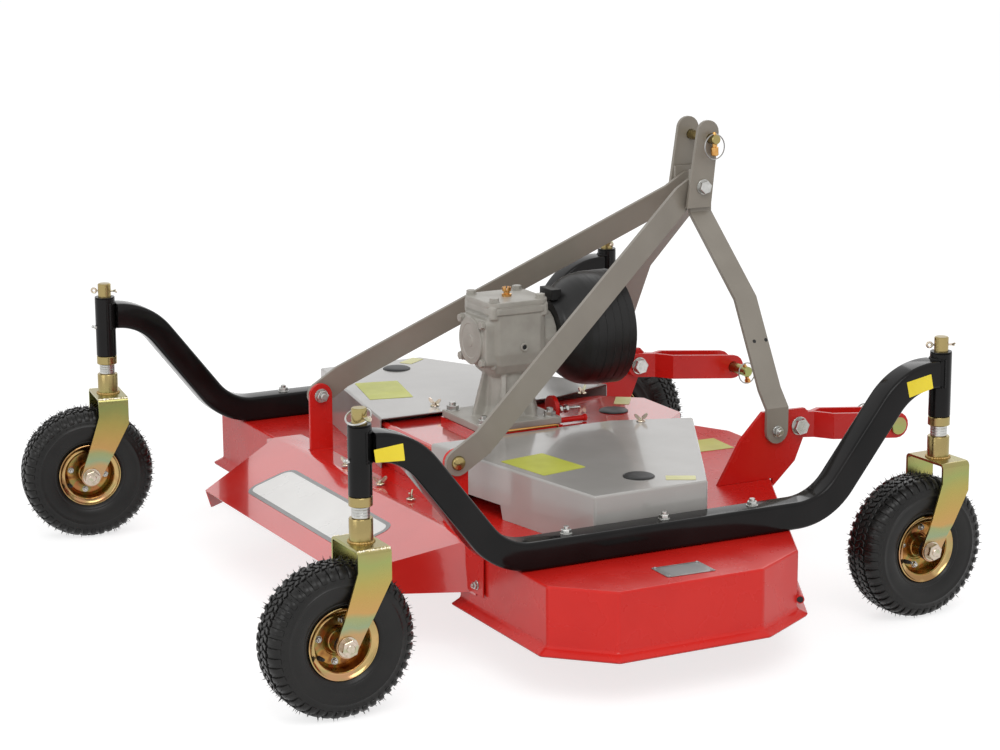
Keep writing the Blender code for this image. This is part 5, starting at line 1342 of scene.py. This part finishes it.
def buildCastors():
    for label, x, y, heading in castorRows:
        cut = 4 if label.startswith("Rear") else 5
        node = label[:cut].lower() + "_" + label[cut:].lower()
        place = toRow @ Matrix.Translation((x, y, 0)) @ Matrix.Rotation(math.radians(heading), 4, "Z")
        dice = random.Random(int(x * 100) + int(y * 10))
        buildFork(label, node, place, heading)
        buildRim(label, node, place)
        buildTyre(label, node, place, dice)
        print("castor made:", label)


buildDeck()
buildHood()
buildHousings()
buildTensioner()
buildCovers()
buildSigns()
print("deck, hood, covers and signs made")
buildTubes()
buildMast()
buildPins()
print("tubes, mast and pins made")
buildGearbox()
buildGuard()
buildShaft()
buildUnderside()
print("gearbox, guard and blades made")
buildCastors()


# Studio

studio = dict(floorWhite=0.86, floorMatte=0.44, floorShine=0.74, skyLight=0.62, keyPower=105.0,
              fillPower=44.0, backPower=34.0)


def strongest(tree, outputs):
    # the largest of several ray flags
    level = outputs[0]
    for other in outputs[1:]:
        most = tree.nodes.new("ShaderNodeMath")
        most.operation = "MAXIMUM"
        link(tree, level, most.inputs[0])
        link(tree, other, most.inputs[1])
        level = most.outputs[0]
    return level


def seenRays(tree):
    rays = tree.nodes.new("ShaderNodeLightPath")
    return strongest(tree, [rays.outputs[name] for name in ("Is Camera Ray", "Is Glossy Ray",
                                                            "Is Transmission Ray")])


def buildStudio():
    world = bpy.context.scene.world or bpy.data.worlds.new("studioSky")
    bpy.context.scene.world = world
    world.use_nodes = True
    tree = world.node_tree
    tree.nodes.clear()
    add = tree.nodes.new
    light, white = add("ShaderNodeBackground"), add("ShaderNodeBackground")
    mix, out = add("ShaderNodeMixShader"), add("ShaderNodeOutputWorld")
    light.inputs["Color"].default_value = (1.0, 1.0, 1.0, 1.0)
    light.inputs["Strength"].default_value = studio["skyLight"]
    white.inputs["Color"].default_value = (1.0, 1.0, 1.0, 1.0)
    white.inputs["Strength"].default_value = 1.0
    link(tree, seenRays(tree), mix.inputs["Fac"])
    link(tree, light.outputs[0], mix.inputs[1])
    link(tree, white.outputs[0], mix.inputs[2])
    link(tree, mix.outputs[0], out.inputs["Surface"])

    floorMesh = bpy.data.meshes.new("studioFloor")
    reach = 30.0
    floorMesh.from_pydata([(-reach, -reach, 0), (reach, -reach, 0), (reach, reach, 0), (-reach, reach, 0)],
                          [], [(0, 1, 2, 3)])
    floor = bpy.data.objects.new("studioFloor", floorMesh)
    bpy.context.scene.collection.objects.link(floor)
    paper = bpy.data.materials.new("floorPaper")
    paper.use_nodes = True
    tree = paper.node_tree
    add = tree.nodes.new
    shader, out = tree.nodes["Principled BSDF"], tree.nodes["Material Output"]
    shader.inputs["Base Color"].default_value = (studio["floorWhite"],) * 3 + (1.0,)
    shader.inputs["Roughness"].default_value = 0.9
    shader.inputs["Specular IOR Level"].default_value = 0.0
    # where it is seen, half its white is its own light, so that only a shadow darkens it
    glow, matte = add("ShaderNodeEmission"), add("ShaderNodeBsdfDiffuse")
    both, mix = add("ShaderNodeAddShader"), add("ShaderNodeMixShader")
    glow.inputs["Strength"].default_value = studio["floorShine"]
    matte.inputs["Color"].default_value = (studio["floorMatte"],) * 3 + (1.0,)
    link(tree, glow.outputs[0], both.inputs[0])
    link(tree, matte.outputs[0], both.inputs[1])
    link(tree, seenRays(tree), mix.inputs["Fac"])
    link(tree, shader.outputs[0], mix.inputs[1])
    link(tree, both.outputs[0], mix.inputs[2])
    link(tree, mix.outputs[0], out.inputs["Surface"])
    floorMesh.materials.append(paper)

    for name, place, power, size in (
            ("keyLight", (4.2, -1.2, 4.6), studio["keyPower"], 3.2),
            ("fillLight", (1.0, -5.0, 2.6), studio["fillPower"], 3.0),
            ("backLight", (-3.6, 3.4, 3.8), studio["backPower"], 2.6)):
        data = bpy.data.lights.new(name, "AREA")
        data.energy, data.size = power, size
        lamp = bpy.data.objects.new(name, data)
        bpy.context.scene.collection.objects.link(lamp)
        lamp.location = place
        lamp.rotation_euler = (Vector((0, 0, 0.25)) - Vector(place)).to_track_quat("-Z", "Y").to_euler()


# The camera was fitted to the photograph in the drawing's frame.
view = dict(place=(4.49944, -2.39500, 1.52587), right=(0.47038, 0.88246, -0.00253),
            ahead=(-0.86015, 0.45785, -0.22478), focal=2720.51, centre=(527.955, 389.179))


def buildCamera():
    data = bpy.data.cameras.new("photoCamera")
    camera = bpy.data.objects.new("photoCamera", data)
    bpy.context.scene.collection.objects.link(camera)
    ahead, right = Vector(view["ahead"]).normalized(), Vector(view["right"]).normalized()
    lift = right.cross(ahead).normalized()
    right = ahead.cross(lift).normalized()
    turn = Matrix((right, lift, -ahead)).transposed().to_4x4()
    camera.matrix_world = toRow @ Matrix.Translation(view["place"]) @ turn
    data.sensor_width = 36.0
    data.lens = 36.0 * view["focal"] / 1000
    data.shift_x = (500 - view["centre"][0]) / 1000
    data.shift_y = (view["centre"][1] - 375) / 1000
    data.clip_start, data.clip_end = 0.1, 100.0
    bpy.context.scene.camera = camera


buildStudio()
buildCamera()
bpy.context.scene.view_settings.view_transform = "Standard"

print("studio and camera set")
